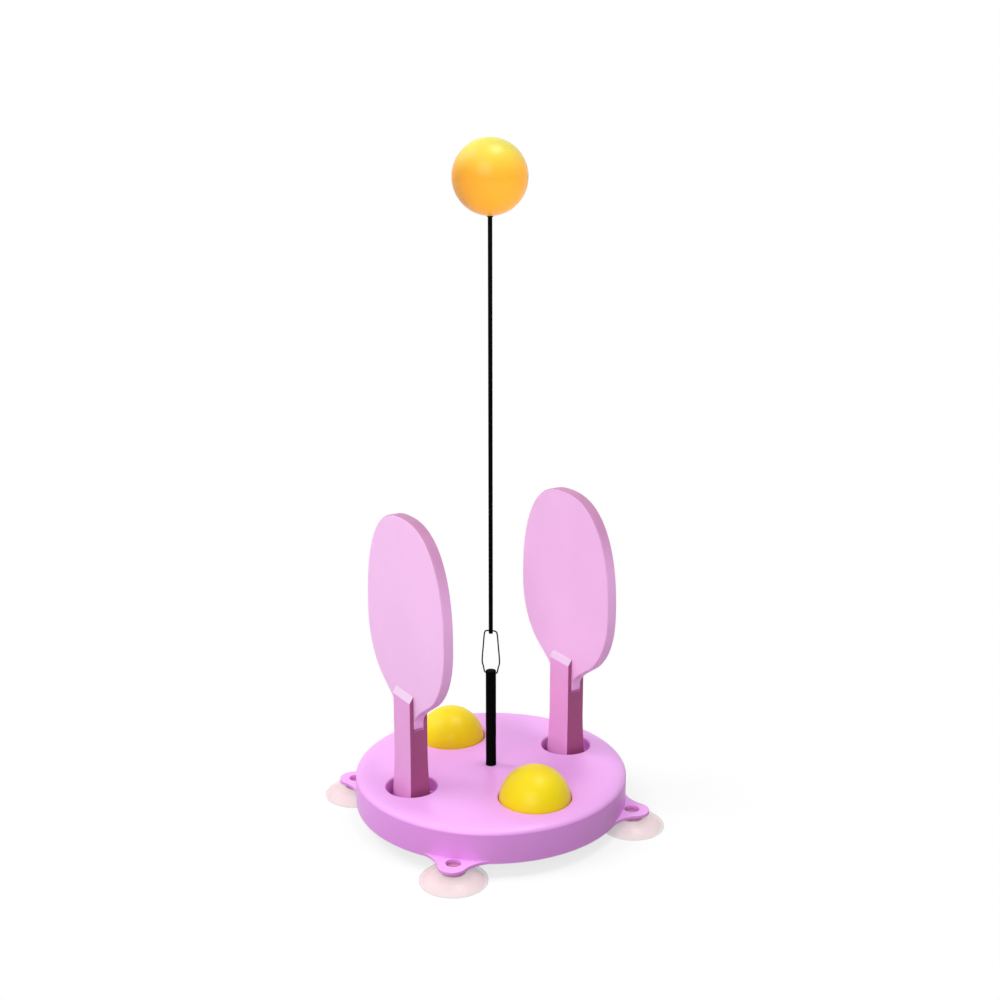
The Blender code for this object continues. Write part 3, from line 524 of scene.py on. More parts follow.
def piece(name, mesh, finish, body, nodes):
    """A finished piece: smooth where it bends gently, riding on its body in its nodes' place."""
    mesh.shade_smooth()
    mesh.set_sharp_from_angle(angle=CREASE)
    mesh.materials.clear()
    mesh.materials.append(finish)
    made = bpy.data.objects.new(name, mesh)
    bpy.context.scene.collection.objects.link(made)
    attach(made, body)
    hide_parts(*nodes)
    return made


def round_edges(made, width):
    """A small rounding of the sharp edges that carving leaves."""
    step = made.modifiers.new("edge", "BEVEL")
    step.width = width
    step.segments = 2
    step.limit_method = "ANGLE"
    step.angle_limit = SHARP_EDGE


def flat_shading(made):
    """Large flat faces keep their own normals, and the roundings beside them take up the turn."""
    made.modifiers.new("flat_shading", "WEIGHTED_NORMAL").keep_sharp = True


# Nodes of materials

def feed(tree, socket, value):
    """Sets an input socket to a plain value, or links it to another node's output."""
    if isinstance(value, bpy.types.NodeSocket):
        tree.links.new(value, socket)
    else:
        socket.default_value = value


def add_node(tree, kind, inputs=None, **settings):
    """A node with its settings, whose inputs are plain values or other nodes' output sockets."""
    made = tree.nodes.new(kind)
    for key, value in settings.items():
        setattr(made, key, value)
    for key, value in (inputs or {}).items():
        feed(tree, made.inputs[key], value)
    return made


def opaque(value):
    return (*value, 1.0)


def maths(tree, operation, first, second):
    return add_node(tree, "ShaderNodeMath", {0: first, 1: second}, operation=operation).outputs[0]


def ranged(tree, value, given, wanted=(0.0, 1.0), interpolation="LINEAR"):
    """A value carried from a given range to a wanted one, and held at its ends."""
    inputs = dict(zip(("Value", "From Min", "From Max", "To Min", "To Max"), (value, *given, *wanted)))
    return add_node(tree, "ShaderNodeMapRange", inputs, interpolation_type=interpolation).outputs["Result"]


def mixed_colour(tree, share, first, second):
    """The first colour where the share is 0 and the second where it is 1. Sockets 6, 7 and 2 hold colours."""
    return add_node(tree, "ShaderNodeMix", {0: share, 6: first, 7: second}, data_type="RGBA").outputs[2]


def scaled_colour(tree, shade, factor):
    inputs = {0: shade, "Scale": factor}
    return add_node(tree, "ShaderNodeVectorMath", inputs, operation="SCALE").outputs["Vector"]


def object_point(tree):
    """The object's own coordinates, in metres."""
    return add_node(tree, "ShaderNodeTexCoord").outputs["Object"]


def object_noise(tree, scale, detail=2.0, stretch=(1, 1, 1)):
    """Noise over the object's own coordinates, with a scale per metre."""
    mapping = add_node(tree, "ShaderNodeMapping", {"Vector": object_point(tree), "Scale": stretch})
    inputs = {"Vector": mapping.outputs["Vector"], "Scale": scale, "Detail": detail}
    return add_node(tree, "ShaderNodeTexNoise", inputs).outputs["Fac"]


def share_by_height(tree, low_end, high_end):
    """A soft step from 0 to 1 between two heights on the object."""
    height = add_node(tree, "ShaderNodeSeparateXYZ", {0: object_point(tree)}).outputs["Z"]
    return ranged(tree, height, (low_end, high_end), interpolation="SMOOTHSTEP")


def share_by_mask(tree, name):
    """The mesh's own mask of that name."""
    return add_node(tree, "ShaderNodeAttribute", attribute_name=name).outputs["Fac"]


def new_group(name, shade, **values):
    """A node group that takes a colour and plain values, and gives a colour, a roughness and a height."""
    group = bpy.data.node_groups.new(name, "ShaderNodeTree")
    socket = group.interface.new_socket("Color", in_out="INPUT", socket_type="NodeSocketColor")
    socket.default_value = opaque(shade)
    for label, value in values.items():
        label = label.replace("_", " ")
        socket = group.interface.new_socket(label, in_out="INPUT", socket_type="NodeSocketFloat")
        socket.default_value = value
    for label, kind in (("Color", "Color"), ("Roughness", "Float"), ("Height", "Float")):
        group.interface.new_socket(label, in_out="OUTPUT", socket_type="NodeSocket" + kind)
    return group, group.nodes.new("NodeGroupInput").outputs, group.nodes.new("NodeGroupOutput").inputs


def moulded_surface():
    """Plastic from a mould: a slow change of tone where it cooled, a fine grain and an uneven gloss."""
    group, given, made = new_group(
        "moulded_surface", (0.8, 0.8, 0.8), Tone=0.03, Grain_Scale=2500.0, Smoothest=0.3, Roughest=0.4
    )
    darker = maths(group, "SUBTRACT", 1.0, given["Tone"])
    tone = ranged(group, object_noise(group, TONE_SCALE), NOISE_MIDDLE, (darker, 1.0))
    feed(group, made["Color"], scaled_colour(group, given["Color"], tone))
    gloss = (given["Smoothest"], given["Roughest"])
    feed(group, made["Roughness"], ranged(group, object_noise(group, GLOSS_SCALE), NOISE_MIDDLE, gloss))
    feed(group, made["Height"], object_noise(group, given["Grain Scale"], 3.0))
    return group


def drawn_metal():
    """Metal drawn or rolled to shape: fine streaks along Z, in its tone, its gloss and its height."""
    group, given, made = new_group("drawn_metal", (0.6, 0.6, 0.6), Smoothest=0.25, Roughest=0.4)
    streaks = object_noise(group, STREAK_SCALE, 3.0, STREAK_STRETCH)
    tone = ranged(group, streaks, NOISE_MIDDLE, STREAK_TONES)
    feed(group, made["Color"], scaled_colour(group, given["Color"], tone))
    gloss = (given["Smoothest"], given["Roughest"])
    feed(group, made["Roughness"], ranged(group, streaks, NOISE_MIDDLE, gloss))
    feed(group, made["Height"], streaks)
    return group


def surfaced(tree, shader, maker, specular, bump, **values):
    """Places a surface group in a material with its own values, and joins it to the shader.

    The specular level is set on the shader itself, and bump is the grain's depth in metres.
    """
    group = bpy.data.node_groups.get(maker.__name__) or maker()
    placed = add_node(tree, "ShaderNodeGroup", node_tree=group)
    for key, value in values.items():
        feed(tree, placed.inputs[key.replace("_", " ")], value)
    raised = add_node(tree, "ShaderNodeBump", {"Height": placed.outputs["Height"], "Distance": bump})
    feed(tree, shader.inputs["Base Color"], placed.outputs["Color"])
    feed(tree, shader.inputs["Roughness"], placed.outputs["Roughness"])
    feed(tree, shader.inputs["Normal"], raised.outputs["Normal"])
    shader.inputs["Specular IOR Level"].default_value = specular


def new_material(name):
    """A material, its node tree and its shader."""
    made = bpy.data.materials.new(name)
    made.use_nodes = True
    return made, made.node_tree, made.node_tree.nodes["Principled BSDF"]


def look(maker):
    """A finish by its maker function, made once. Its name isn't one of the frame's own materials."""
    made = bpy.data.materials.get(maker.__name__)
    if made is None:
        made, tree, shader = new_material(maker.__name__)
        maker(tree, shader, bpy.context.scene.trainer.colours)
    return made


# Finishes

def base_plastic(tree, shader, colours):
    """Lilac pink, with painted shade: a deeper pink on upright faces, by the mesh's own mask."""
    side = share_by_mask(tree, "upright")
    shade = mixed_colour(tree, side, opaque(colours.base), opaque(colours.base_side))
    surfaced(tree, shader, moulded_surface, 0.5, GRAIN, Color=shade, Smoothest=0.36, Roughest=0.46)


def blade_plastic(tree, shader, colours):
    """Pink, with painted shade on the rim that deepens towards the top, by the mesh's own mask and by height
    on the object.
    """
    height = share_by_height(tree, (HANDLE_TIP + BLADE_TOP) / 2, BLADE_TOP)
    rim = mixed_colour(tree, height, opaque(colours.blade_rim), opaque(colours.blade_rim_top))
    shade = mixed_colour(tree, share_by_mask(tree, "rim"), opaque(colours.blade), rim)
    surfaced(tree, shader, moulded_surface, 0.45, GRAIN, Color=shade, Tone=0.04, Smoothest=0.4, Roughest=0.5)


def handle_plastic(tree, shader, colours):
    """Rose on broad faces, with painted shade in plum on narrow sides and painted light in pale pink on
    sloping tops, by the mesh's own masks.
    """
    shade = opaque(colours.handle)
    for mask, other in (("narrow_side", colours.handle_side), ("sloping_top", colours.handle_top)):
        shade = mixed_colour(tree, share_by_mask(tree, mask), shade, opaque(other))
    surfaced(tree, shader, moulded_surface, 0.4, GRAIN, Color=shade, Tone=0.05, Smoothest=0.42, Roughest=0.52)


def spare_ball_plastic(tree, shader, colours):
    """Thin yellow plastic with a very fine grain."""
    surfaced(
        tree, shader, moulded_surface, 0.3, FINE_GRAIN,
        Color=opaque(colours.spare_ball), Tone=0.03, Grain_Scale=5000.0, Smoothest=0.34, Roughest=0.42,
    )


def top_ball_plastic(tree, shader, colours):
    """Orange, with painted light in yellow on its upper part and a soft change between, by height on the
    object.
    """
    share = share_by_height(tree, TOP_BALL_CENTRE, TOP_BALL_CENTRE + BALL_RADIUS)
    shade = mixed_colour(tree, share, opaque(colours.top_ball), opaque(colours.top_ball_crown))
    surfaced(
        tree, shader, moulded_surface, 0.3, FINE_GRAIN,
        Color=shade, Tone=0.02, Grain_Scale=5000.0, Smoothest=0.26, Roughest=0.34,
    )


def cup_rubber(tree, shader, colours):
    """Soft clear plastic: faintly pink, denser where it is seen edge on."""
    surfaced(
        tree, shader, moulded_surface, 0.5, GRAIN, Color=opaque(colours.cup), Smoothest=0.18, Roughest=0.3
    )
    edge_on = add_node(tree, "ShaderNodeLayerWeight", {"Blend": CUP_EDGE}).outputs["Facing"]
    feed(tree, shader.inputs["Alpha"], ranged(tree, edge_on, (0.0, 1.0), CUP_OPACITY))


def post_plastic(tree, shader, colours):
    """Dull black plastic."""
    surfaced(
        tree, shader, moulded_surface, 0.01, GRAIN,
        Color=opaque(colours.black), Tone=0.2, Smoothest=0.45, Roughest=0.6,
    )


def spring_wire(tree, shader, colours):
    """Wire with a dull black coat."""
    surfaced(
        tree, shader, drawn_metal, 0.01, FINE_GRAIN, Color=opaque(colours.black), Smoothest=0.35, Roughest=0.5
    )


def plain_steel(tree, shader, colours):
    """Bright steel, as screws have it."""
    surfaced(
        tree, shader, drawn_metal, 0.5, FINE_GRAIN, Color=opaque(colours.steel), Smoothest=0.24, Roughest=0.4
    )
    shader.inputs["Metallic"].default_value = 1.0


# Masks, which place painted shade and painted light

def upright(across, along, up):
    """1 for a face within 15 degrees of upright, fading to 0 at 49 degrees: where the base's painted shade
    goes.
    """
    return np.clip(1.5 - 2 * up, 0, 1)


def blade_rim(across, along, up):
    """A face of a blade that is turned by more than 18 degrees from its broad faces: where the rim's painted
    shade goes.
    """
    return across < cos(pi / 10)


def narrow_side(across, along, up):
    """A face of a handle that looks along the blade by more than 45 degrees: where the painted shade goes."""
    return along > sin(pi / 4)


def sloping_top(across, along, up):
    """A face of a handle that looks both across the blade and up, by more than 22.5 degrees each: where the
    painted light goes.
    """
    return (across > sin(pi / 8)) & (up > sin(pi / 8))


# Base

def shell_profile(base):
    """The shell's section: flat top, elliptical crown, upright wall, and a sloping corner inside."""
    crown_start = BASE_RADIUS - base.crown_width
    quarter = arc((0, 0), 1, pi / 2, 0) * [base.crown_width, base.crown_height]
    crown = np.array([crown_start, BASE_TOP - base.crown_height]) + quarter
    inner_radius = BASE_RADIUS - base.wall
    foot = softened([crown[-1], (BASE_RADIUS, UNDERSIDE), (inner_radius, UNDERSIDE)], base.edge)[1:]
    inner = [
        (inner_radius, BASE_TOP - base.crown_height - base.wall / 2),
        (crown_start, BASE_TOP - base.wall),
        (0, BASE_TOP - base.wall),
    ]
    return np.concatenate([[(0, BASE_TOP), (crown_start - base.edge, BASE_TOP)], crown, foot, inner])


def root_radius(base):
    """How far out the lugs' roots and the ribs' ends run inside the side wall."""
    return BASE_RADIUS - base.wall * 3 / 4


def lug_outline(base, hole_ring, inset):
    """A round tip, a hollow fillet on each flank that runs just into the base's side, and a root in its wall.

    The inset draws the tip and the flanks in: the tip's circle gets smaller and the fillets' circles larger.
    """
    ring = hole_ring + base.lug_nose
    fillet_ring = BASE_RADIUS - base.edge / 2 + base.lug_fillet
    reach = base.lug_tip + base.lug_fillet
    half_angle = arccos((ring**2 + fillet_ring**2 - reach**2) / (2 * ring * fillet_ring))
    fillet = fillet_ring * np.array([cos(half_angle), sin(half_angle)])
    lean = arctan2(fillet[1], fillet[0] - ring)
    lower = arc(fillet * [1, -1], base.lug_fillet + inset, pi - half_angle, pi - lean)
    tip = arc((ring, 0), base.lug_tip - inset, -lean, lean, steps=56)
    upper = (lower * [1, -1])[::-1]
    root = arc((0, 0), root_radius(base), half_angle, -half_angle)
    return np.concatenate([lower, tip[1:-1], upper, root])


def lug_plate(base, hole_ring):
    """A lug with rounded edges, whose rings are its outline at each inset.

    Its faces' centre is where it sees the whole outline: midway between the points where the tangents at a
    flank's end and at the root's end cross the lug's axis.
    """
    insets, heights = edge_run(UNDERSIDE, UNDERSIDE + base.lug_thickness, base.edge, steps=4)
    outlines = np.stack([lug_outline(base, hole_ring, inset) for inset in insets])
    flank_end, root_end = outlines[0][0], outlines[0][-1]
    centre = (np.hypot(*flank_end) + np.hypot(*root_end)) / 2 * np.hypot(*root_end) / root_end[0]
    return stacked(outlines, heights, (centre, 0))


def collar_profile(base):
    """A short drum under a lug, with its lower edge rounded."""
    top = UNDERSIDE + base.edge
    foot = softened([(0, COLLAR_FOOT), (base.collar, COLLAR_FOOT), (base.collar, top)], base.edge)
    return np.concatenate([foot, [(0, top)]])


def lug_hole_profile(base, cups):
    """The hole through a lug and its collar: open above, wide for a cup's head, and a lip round its neck.

    A cutter runs past the faces that it opens, by the rounding of the small edges.
    """
    top = UNDERSIDE + base.lug_thickness
    past = base.edge
    head, neck = cups.head + cups.gap, cups.neck + cups.gap
    lip = COLLAR_FOOT + base.collar_lip
    profile = [
        (0, top + past),
        (base.lug_hole + past, top + past),
        (base.lug_hole, top - past),
        (base.lug_hole, UNDERSIDE),
        (head, UNDERSIDE),
        (head, lip),
        (neck, lip),
        (neck, COLLAR_FOOT - past),
        (0, COLLAR_FOOT - past),
    ]
    return softened(profile, base.edge / 2)


def plate_middle(base):
    """The height inside the top plate where bosses and pockets start."""
    return BASE_TOP - base.wall / 2


def inside_floor(base):
    """The height just above the cover where bosses and wells end."""
    return COVER_TOP + base.seat_gap


def well_floor(base):
    return HANDLE_FOOT - base.seat_gap


def bowl_radius(base):
    return BALL_RADIUS + base.seat_gap


def corner_tools(base, cups, name):
    """What a diagonal joins and cuts: a lug, its collar and its hole, and a screw boss and its bore."""
    cup, screw = footing("suction_cup_" + name), footing("cover_screw_" + name)
    lug = moved(surface("lug", lug_plate(base, np.hypot(cup[0], cup[1]))), angle=arctan2(cup[1], cup[0]))
    collar = lathed("collar", collar_profile(base), cup)
    hole = lathed("lug_hole", lug_hole_profile(base, cups), cup)
    boss = lathed("screw_boss", drum(base.screw_boss, plate_middle(base), inside_floor(base)), screw)
    bore = lathed("screw_bore", drum(SCREW_HEAD / 2 + base.seat_gap, SCREW_TIP + base.edge, 0), screw)
    return [lug, collar, boss], [hole, bore]


def centre_parts(base):
    """The boss that holds the post, and two crossed ribs under the top."""
    parts = [lathed("centre_boss", drum(base.centre_boss, plate_middle(base), base.centre_boss_end))]
    reach, thick, plate_low = root_radius(base), base.rib / 2, BASE_TOP - base.wall
    for angle in (pi / 4, -pi / 4):
        ends = (-reach, -thick, plate_low - base.rib_depth), (reach, thick, plate_low + base.wall / 8)
        parts.append(moved(block("rib", *ends), angle=angle))
    return parts


def post_bore(base):
    """The bore through the centre boss, with the step that the post's shoulder rests on."""
    wide, narrow = POST_RADIUS + base.seat_gap / 2, POST_RADIUS - base.seat_gap
    over, step, under = BASE_TOP + base.edge, base.post_step, base.centre_boss_end - base.edge
    profile = [(0, over), (wide, over), (wide, step), (narrow, step), (narrow, under), (0, under)]
    return lathed("post_bore", profile)


def mouth(radius, rounding, floor_profile):
    """A pocket's cutter: a rounded mouth that runs out just above the base's top, then the given floor."""
    flare = arc((radius + rounding, BASE_TOP - rounding), rounding, pi, pi / 2 + MOUTH_SLOPE, steps=8)
    run_out = flare[-1] + np.array([rounding, rounding * tan(MOUTH_SLOPE)])
    return np.concatenate([[(0, run_out[1]), run_out], flare[::-1], floor_profile])


def bowl_tools(base, name):
    """A spare ball's bowl and its hollow: circles about the ball's centre, the outer one cut off flat."""
    centre = footing("spare_ball_" + name + "_upper")
    inner, outer = bowl_radius(base), bowl_radius(base) + base.pocket_wall
    lean = arccos((SPARE_BALL_CENTRE - UNDERSIDE) / outer)
    round_part = arc((0, SPARE_BALL_CENTRE), outer, 0, lean - pi / 2, steps=32)
    top = plate_middle(base)
    body = np.concatenate([[(0, top), (outer, top)], round_part, [(0, UNDERSIDE)]])
    hollow = mouth(inner, base.mouth_round, arc((0, SPARE_BALL_CENTRE), inner, 0, -pi / 2, steps=40))
    return [lathed("bowl", body, centre)], [lathed("bowl_hollow", hollow, centre)]


def well_tools(base, name):
    """A racket's well and its hollow: a plain drum, and a bore with a rounded mouth and floor."""
    centre = footing("racket_" + name + "_blade")
    radius, foot = base.well_radius, well_floor(base)
    body = drum(radius + base.pocket_wall, plate_middle(base), inside_floor(base))
    floor = softened([(radius, foot + 2 * base.mouth_round), (radius, foot), (0, foot)], base.mouth_round)
    hollow = mouth(radius, base.mouth_round, floor)
    return [lathed("well", body, centre)], [lathed("well_hollow", hollow, centre)]


def well_ribs(base):
    """Four upright ribs in each racket well, just clear of the handle's foot."""
    ribs = []
    thick, reach = base.well_rib / 2, base.well_radius + base.pocket_wall / 2
    under, over = well_floor(base) - base.pocket_wall / 2, base.well_rib_top
    for name in RACKETS:
        node = "racket_" + name + "_handle"
        across, along = half(node)[:2] + base.seat_gap
        spans = (
            ((across, -thick), (reach, thick)),
            ((-reach, -thick), (-across, thick)),
            ((-thick, along), (thick, reach)),
            ((-thick, -reach), (thick, -along)),
        )
        for start, end in spans:
            ribs.append(moved(block("well_rib", (*start, under), (*end, over)), footing(node)))
    return ribs


def base_moulding(base, cups):
    """The base shell: a revolved body, lugs, collars, bosses, ribs, bowls and wells, and their openings."""
    tools = [
        *(corner_tools(base, cups, name) for name in DIAGONALS),
        (centre_parts(base), []),
        *(bowl_tools(base, name) for name in SPARE_BALLS),
        *(well_tools(base, name) for name in RACKETS),
        ([], [post_bore(base)]),
    ]
    joined, cut = ([tool for pair in tools for tool in pair[side]] for side in (0, 1))
    return carved(carved(lathed("base_moulding", shell_profile(base)), joined, cut), well_ribs(base))


# Underside

def cover_plate(base):
    """The disc that closes the base, with holes for the bowls and countersinks for the screws."""
    over, under = COVER_TOP + base.edge, UNDERSIDE - base.edge
    outer = bowl_radius(base) + base.pocket_wall
    hole = sqrt(outer**2 - (SPARE_BALL_CENTRE - COVER_TOP) ** 2) + base.seat_gap
    head, shank = SCREW_HEAD + base.seat_gap, SCREW_HEAD / 2 + base.seat_gap
    cone = UNDERSIDE + head - shank
    sink = [(0, over), (shank, over), (shank, cone), (head, UNDERSIDE), (head, under), (0, under)]
    cut = [
        lathed("cover_hole", drum(hole, over, under), footing("spare_ball_" + name + "_upper"))
        for name in SPARE_BALLS
    ]
    cut += [lathed("countersink", sink, footing("cover_screw_" + name)) for name in DIAGONALS]
    disc = softened(drum(COVER_RADIUS, COVER_TOP, UNDERSIDE), base.edge / 2)
    return carved(lathed("cover_plate", disc), cut=cut)


def cover_screw(node):
    """A countersunk screw: a flat head with a cross recess, and a plain shank with a pointed tip."""
    foot = low(node)[2]
    shank = SCREW_HEAD / 2
    profile = [
        (0, foot),
        (SCREW_HEAD, foot),
        (shank, foot + shank),
        (shank, SCREW_TIP - shank),
        (shank / 2, SCREW_TIP),
        (0, SCREW_TIP),
    ]
    depth, thick = shank / 2, shank / 5
    ends = (-shank, -thick, -depth), (shank, thick, depth)
    recess = [moved(block("recess", *ends), (0, 0, foot), angle) for angle in (0, pi / 2)]
    screw = carved(lathed("cover_screw", softened(profile, shank / 8)), cut=recess)
    return moved(screw, footing(node))


# Suction cups

def cup_profile(base, cups):
    """A cup's section: mushroom head, neck, sunk seat, dome, flat rim and hollow.

    The dome is the circle over the rim with the given rise, and the hollow's circle has the same centre.
    """
    rise, rim = cups.rise, CUP_RIM
    dome_radius = (rise**2 + rim**2) / (2 * rise)
    centre = cups.rim_thickness + rise - dome_radius
    hollow_radius = dome_radius - cups.wall
    seat = COLLAR_FOOT - cups.gap
    seat_radius = base.collar + cups.gap
    roof = seat - cups.wall
    head_low = COLLAR_FOOT + base.collar_lip + cups.gap / 2
    rim_inner = rim - cups.rim_width
    lean_out = arccos(rim_inner / hollow_radius)
    lean_in = arccos(sqrt(hollow_radius**2 - (roof - centre) ** 2) / hollow_radius)
    head = [(0, CUP_TOP), (cups.head, CUP_TOP), (cups.head, head_low), (cups.neck, head_low)]
    neck = [(cups.neck, seat), (seat_radius, seat)]
    dome_ends = arccos(seat_radius / dome_radius), arccos(rim / dome_radius)
    dome = arc((0, centre), dome_radius, *dome_ends, steps=32)
    hollow = arc((0, centre), hollow_radius, lean_out, lean_in, steps=20)
    return np.concatenate([head, neck, dome, [(rim, 0), (rim_inner, 0)], hollow, [(0, roof)]])


# Post, spring and rod

def post_shank(rod):
    """The post: a round bar with a smaller tail and a cross hole near its top for the spring wire."""
    profile = [
        (0, POST_TOP),
        (POST_RADIUS, POST_TOP),
        (POST_RADIUS, rod.post_shoulder),
        (rod.post_tail, rod.post_shoulder),
        (rod.post_tail, POST_TAIL),
        (0, POST_TAIL),
    ]
    reach = 2 * POST_RADIUS
    eye = lathed("eye", drum(rod.wire + rod.running_gap, -reach, reach))
    across = Matrix.Rotation(rod.loop_turn, 4, "Z") @ Matrix.Rotation(pi / 2, 4, "Y")
    eye.transform(Matrix.Translation((0, 0, LOOP_FOOT)) @ across)
    return carved(lathed("post_shank", softened(profile, rod.edge)), cut=[eye])


def loop_path(rod):
    """The wire's middle line: straight foot, round belly, long sides, square shoulders and a flat top.

    It runs through its points on a closed curve of cubic spans, whose tangent at each point is half the step
    between that point's neighbours.
    """
    height = LOOP_TOP - LOOP_FOOT
    side = np.array(
        [
            (POST_RADIUS, 0),
            (POST_RADIUS + rod.heel, rod.heel),
            ((POST_RADIUS + 2 * rod.belly) / 3, rod.belly_height / 2),
            (rod.belly, rod.belly_height),
            ((rod.belly + rod.shoulder) / 2, (rod.belly_height + height) / 2),
            (rod.shoulder, height - rod.corner),
            (rod.shoulder - rod.corner / 2, height - rod.corner / 8),
            (rod.rod + rod.wire, height),
        ]
    )
    points = np.concatenate([[(0, 0)], side, [(0, height)], (side * [-1, 1])[::-1]])
    before, after, later = (np.roll(points, -k, axis=0)[:, None] for k in (-1, 1, 2))
    here = points[:, None]
    t = np.linspace(0, 1, SPAN_STEPS, endpoint=False)[None, :, None]
    lead = 2 * t**3 - 3 * t**2
    curve = (1 + lead) * here - lead * after
    curve = curve + (t**3 - 2 * t**2 + t) * (after - before) / 2 + (t**3 - t**2) * (later - here) / 2
    across, up = curve.reshape(-1, 2).T
    return np.stack([across, 0 * across, up], axis=1)


def wire_loop(rod):
    """A round wire along the loop's middle line."""
    wire = surface("wire_loop", tube(loop_path(rod), (0, 1, 0), rod.wire, sides=16), ring=True)
    return moved(wire, (0, 0, LOOP_FOOT), rod.loop_turn)


def rod_shape(rod):
    """The long rod, with a slot at its foot that flares both ways, so that it can rock on the wire."""
    bar = softened(drum(rod.rod, ROD_TOP, LOOP_TOP - rod.rod_below), rod.rod / 3)
    room = rod.wire + rod.running_gap / 2
    reach = rod.rod + rod.rod_below / 2
    flared = room / cos(rod.rod_sway) + reach * tan(rod.rod_sway)
    lower = np.array([(-reach, -flared), (0, -room), (reach, -flared)])
    outline = np.concatenate([lower, -lower])
    slot = surface("slot", plate(outline, (0, 0), -room, room))
    slot.transform(Matrix.Rotation(pi / 2, 4, "X"))
    return carved(lathed("rod", bar), cut=[moved(slot, (0, 0, LOOP_TOP), rod.loop_turn)])


def rod_plug(rod, balls):
    """The plug between rod and ball: a lip below, a neck in the ball's hole and a flange inside."""
    lip_high = TOP_BALL_CENTRE - BALL_RADIUS - rod.running_gap / 2
    lip_low = lip_high - rod.plug_lip_depth
    inside = BALL_RADIUS - balls.wall
    flange_low = TOP_BALL_CENTRE - sqrt(inside**2 - rod.plug_flange**2) + 3 * rod.running_gap
    flange_high = flange_low + rod.plug_flange_depth
    bore = rod.rod + 1.5 * rod.running_gap
    bore_top = ROD_TOP + 3 * rod.running_gap
    profile = [
        (0, PLUG_TOP),
        (rod.plug_neck, PLUG_TOP),
        (rod.plug_neck, flange_high),
        (rod.plug_flange, flange_high),
        (rod.plug_flange, flange_low),
        (rod.plug_neck, flange_low),
        (rod.plug_neck, lip_high),
        (rod.plug_lip, lip_high),
        (rod.plug_lip, lip_low),
        (bore, lip_low),
        (bore, bore_top),
        (0, bore_top),
    ]
    return lathed("rod_plug", softened(profile, rod.running_gap))


# Balls

def ball_half(balls, centre, upper, hole=0.0):
    """Half a hollow ball: two quarter circles turned about Z, joined at the seam and round any hole."""
    inside = BALL_RADIUS - balls.wall
    outer = arc((0, 0), BALL_RADIUS, 0, arccos(hole / BALL_RADIUS), steps=56)
    inner = arc((0, 0), inside, arccos(hole / inside), 0, steps=28)
    outer[0, 1] = inner[-1, 1] = balls.seam
    lip = softened(np.concatenate([inner[-2:], outer[:2]]), balls.seam_edge)
    profile = np.concatenate([lip[1:-1], outer[1:], inner[:-1]])
    return lathed("ball_half", profile * [1, 1 if upper else -1], centre, ring=True)


# Rackets

def squared_oval(angle, power, height):
    """Points of an oval: half width |cos a|^(2/p) across and height |sin a|^(2/p) up, signed as the sine."""
    across = BLADE_HALF_WIDTH * np.abs(cos(angle)) ** (2 / power)
    return np.stack([across, height * np.sign(angle) * np.abs(sin(angle)) ** (2 / power)], axis=1)


def blade_side(rackets):
    """Half the blade's outline from its crown down: squared oval, hollow neck, straight tongue, round corner.

    The neck is the curve (1-t)^3 a + 3t(1-t)^2 b + 3t^2(1-t) c + t^3 d, which leaves the belly along its
    tangent and comes down into the tongue's side.
    """
    share = rackets.neck_start / BLADE_HALF_WIDTH
    end = arctan2((1 - share**rackets.belly_power) ** 0.5, share ** (rackets.belly_power / 2))
    crown_angles = np.linspace(pi / 2, 0, BLADE_POINTS["crown"])
    belly_angles = np.linspace(-PAST_WIDEST, -end, BLADE_POINTS["belly"])
    crown = squared_oval(crown_angles, rackets.crown_power, BLADE_TOP - rackets.widest)
    belly = squared_oval(belly_angles, rackets.belly_power, rackets.belly)
    slope = belly[-1] - belly[-2]
    slope /= np.linalg.norm(slope)
    tongue = rackets.width / 2
    corner_high = TONGUE_END + rackets.tongue_corner - rackets.widest
    neck_end = np.array([tongue, corner_high])
    a, b = belly[-1], belly[-1] + slope * rackets.neck_sweep
    c, d = neck_end + [0, rackets.neck_rise], neck_end
    t = np.linspace(0, 1, BLADE_POINTS["neck"] + 1)[1:, None]
    neck = a * (1 - t) ** 3 + b * 3 * t * (1 - t) ** 2 + c * 3 * t**2 * (1 - t) + d * t**3
    corner = arc((tongue - rackets.tongue_corner, corner_high), rackets.tongue_corner, 0, -pi / 2)
    return np.concatenate([crown, belly, neck, corner[1:]]) + [0, rackets.widest]


def blade(rackets, node):
    """The blade and its tongue: one flat plate with a rounded edge, standing across X."""
    right = blade_side(rackets)
    outline = evenly(np.concatenate([right, (right * [-1, 1])[-1:0:-1]])[::-1], BLADE_POINTS["outline"])
    thick = BLADE_THICKNESS / 2
    mesh = surface("blade", plate(outline, (0, rackets.widest), -thick, thick, rackets.blade_edge, steps=6))
    mesh.transform(Matrix.Rotation(pi / 2, 4, "Z") @ Matrix.Rotation(pi / 2, 4, "X"))
    return moved(mesh, footing(node))


def rounded_rectangle(half_x, half_y, corner, steps):
    """Four quarter circles, each about its own corner centre, in one anticlockwise outline."""
    quarters = []
    for x, y, start in ((1, 1, 0), (-1, 1, pi / 2), (-1, -1, pi), (1, -1, 3 * pi / 2)):
        centre = (x * (half_x - corner), y * (half_y - corner))
        quarters.append(arc(centre, corner, start, start + pi / 2, steps))
    return np.concatenate(quarters)


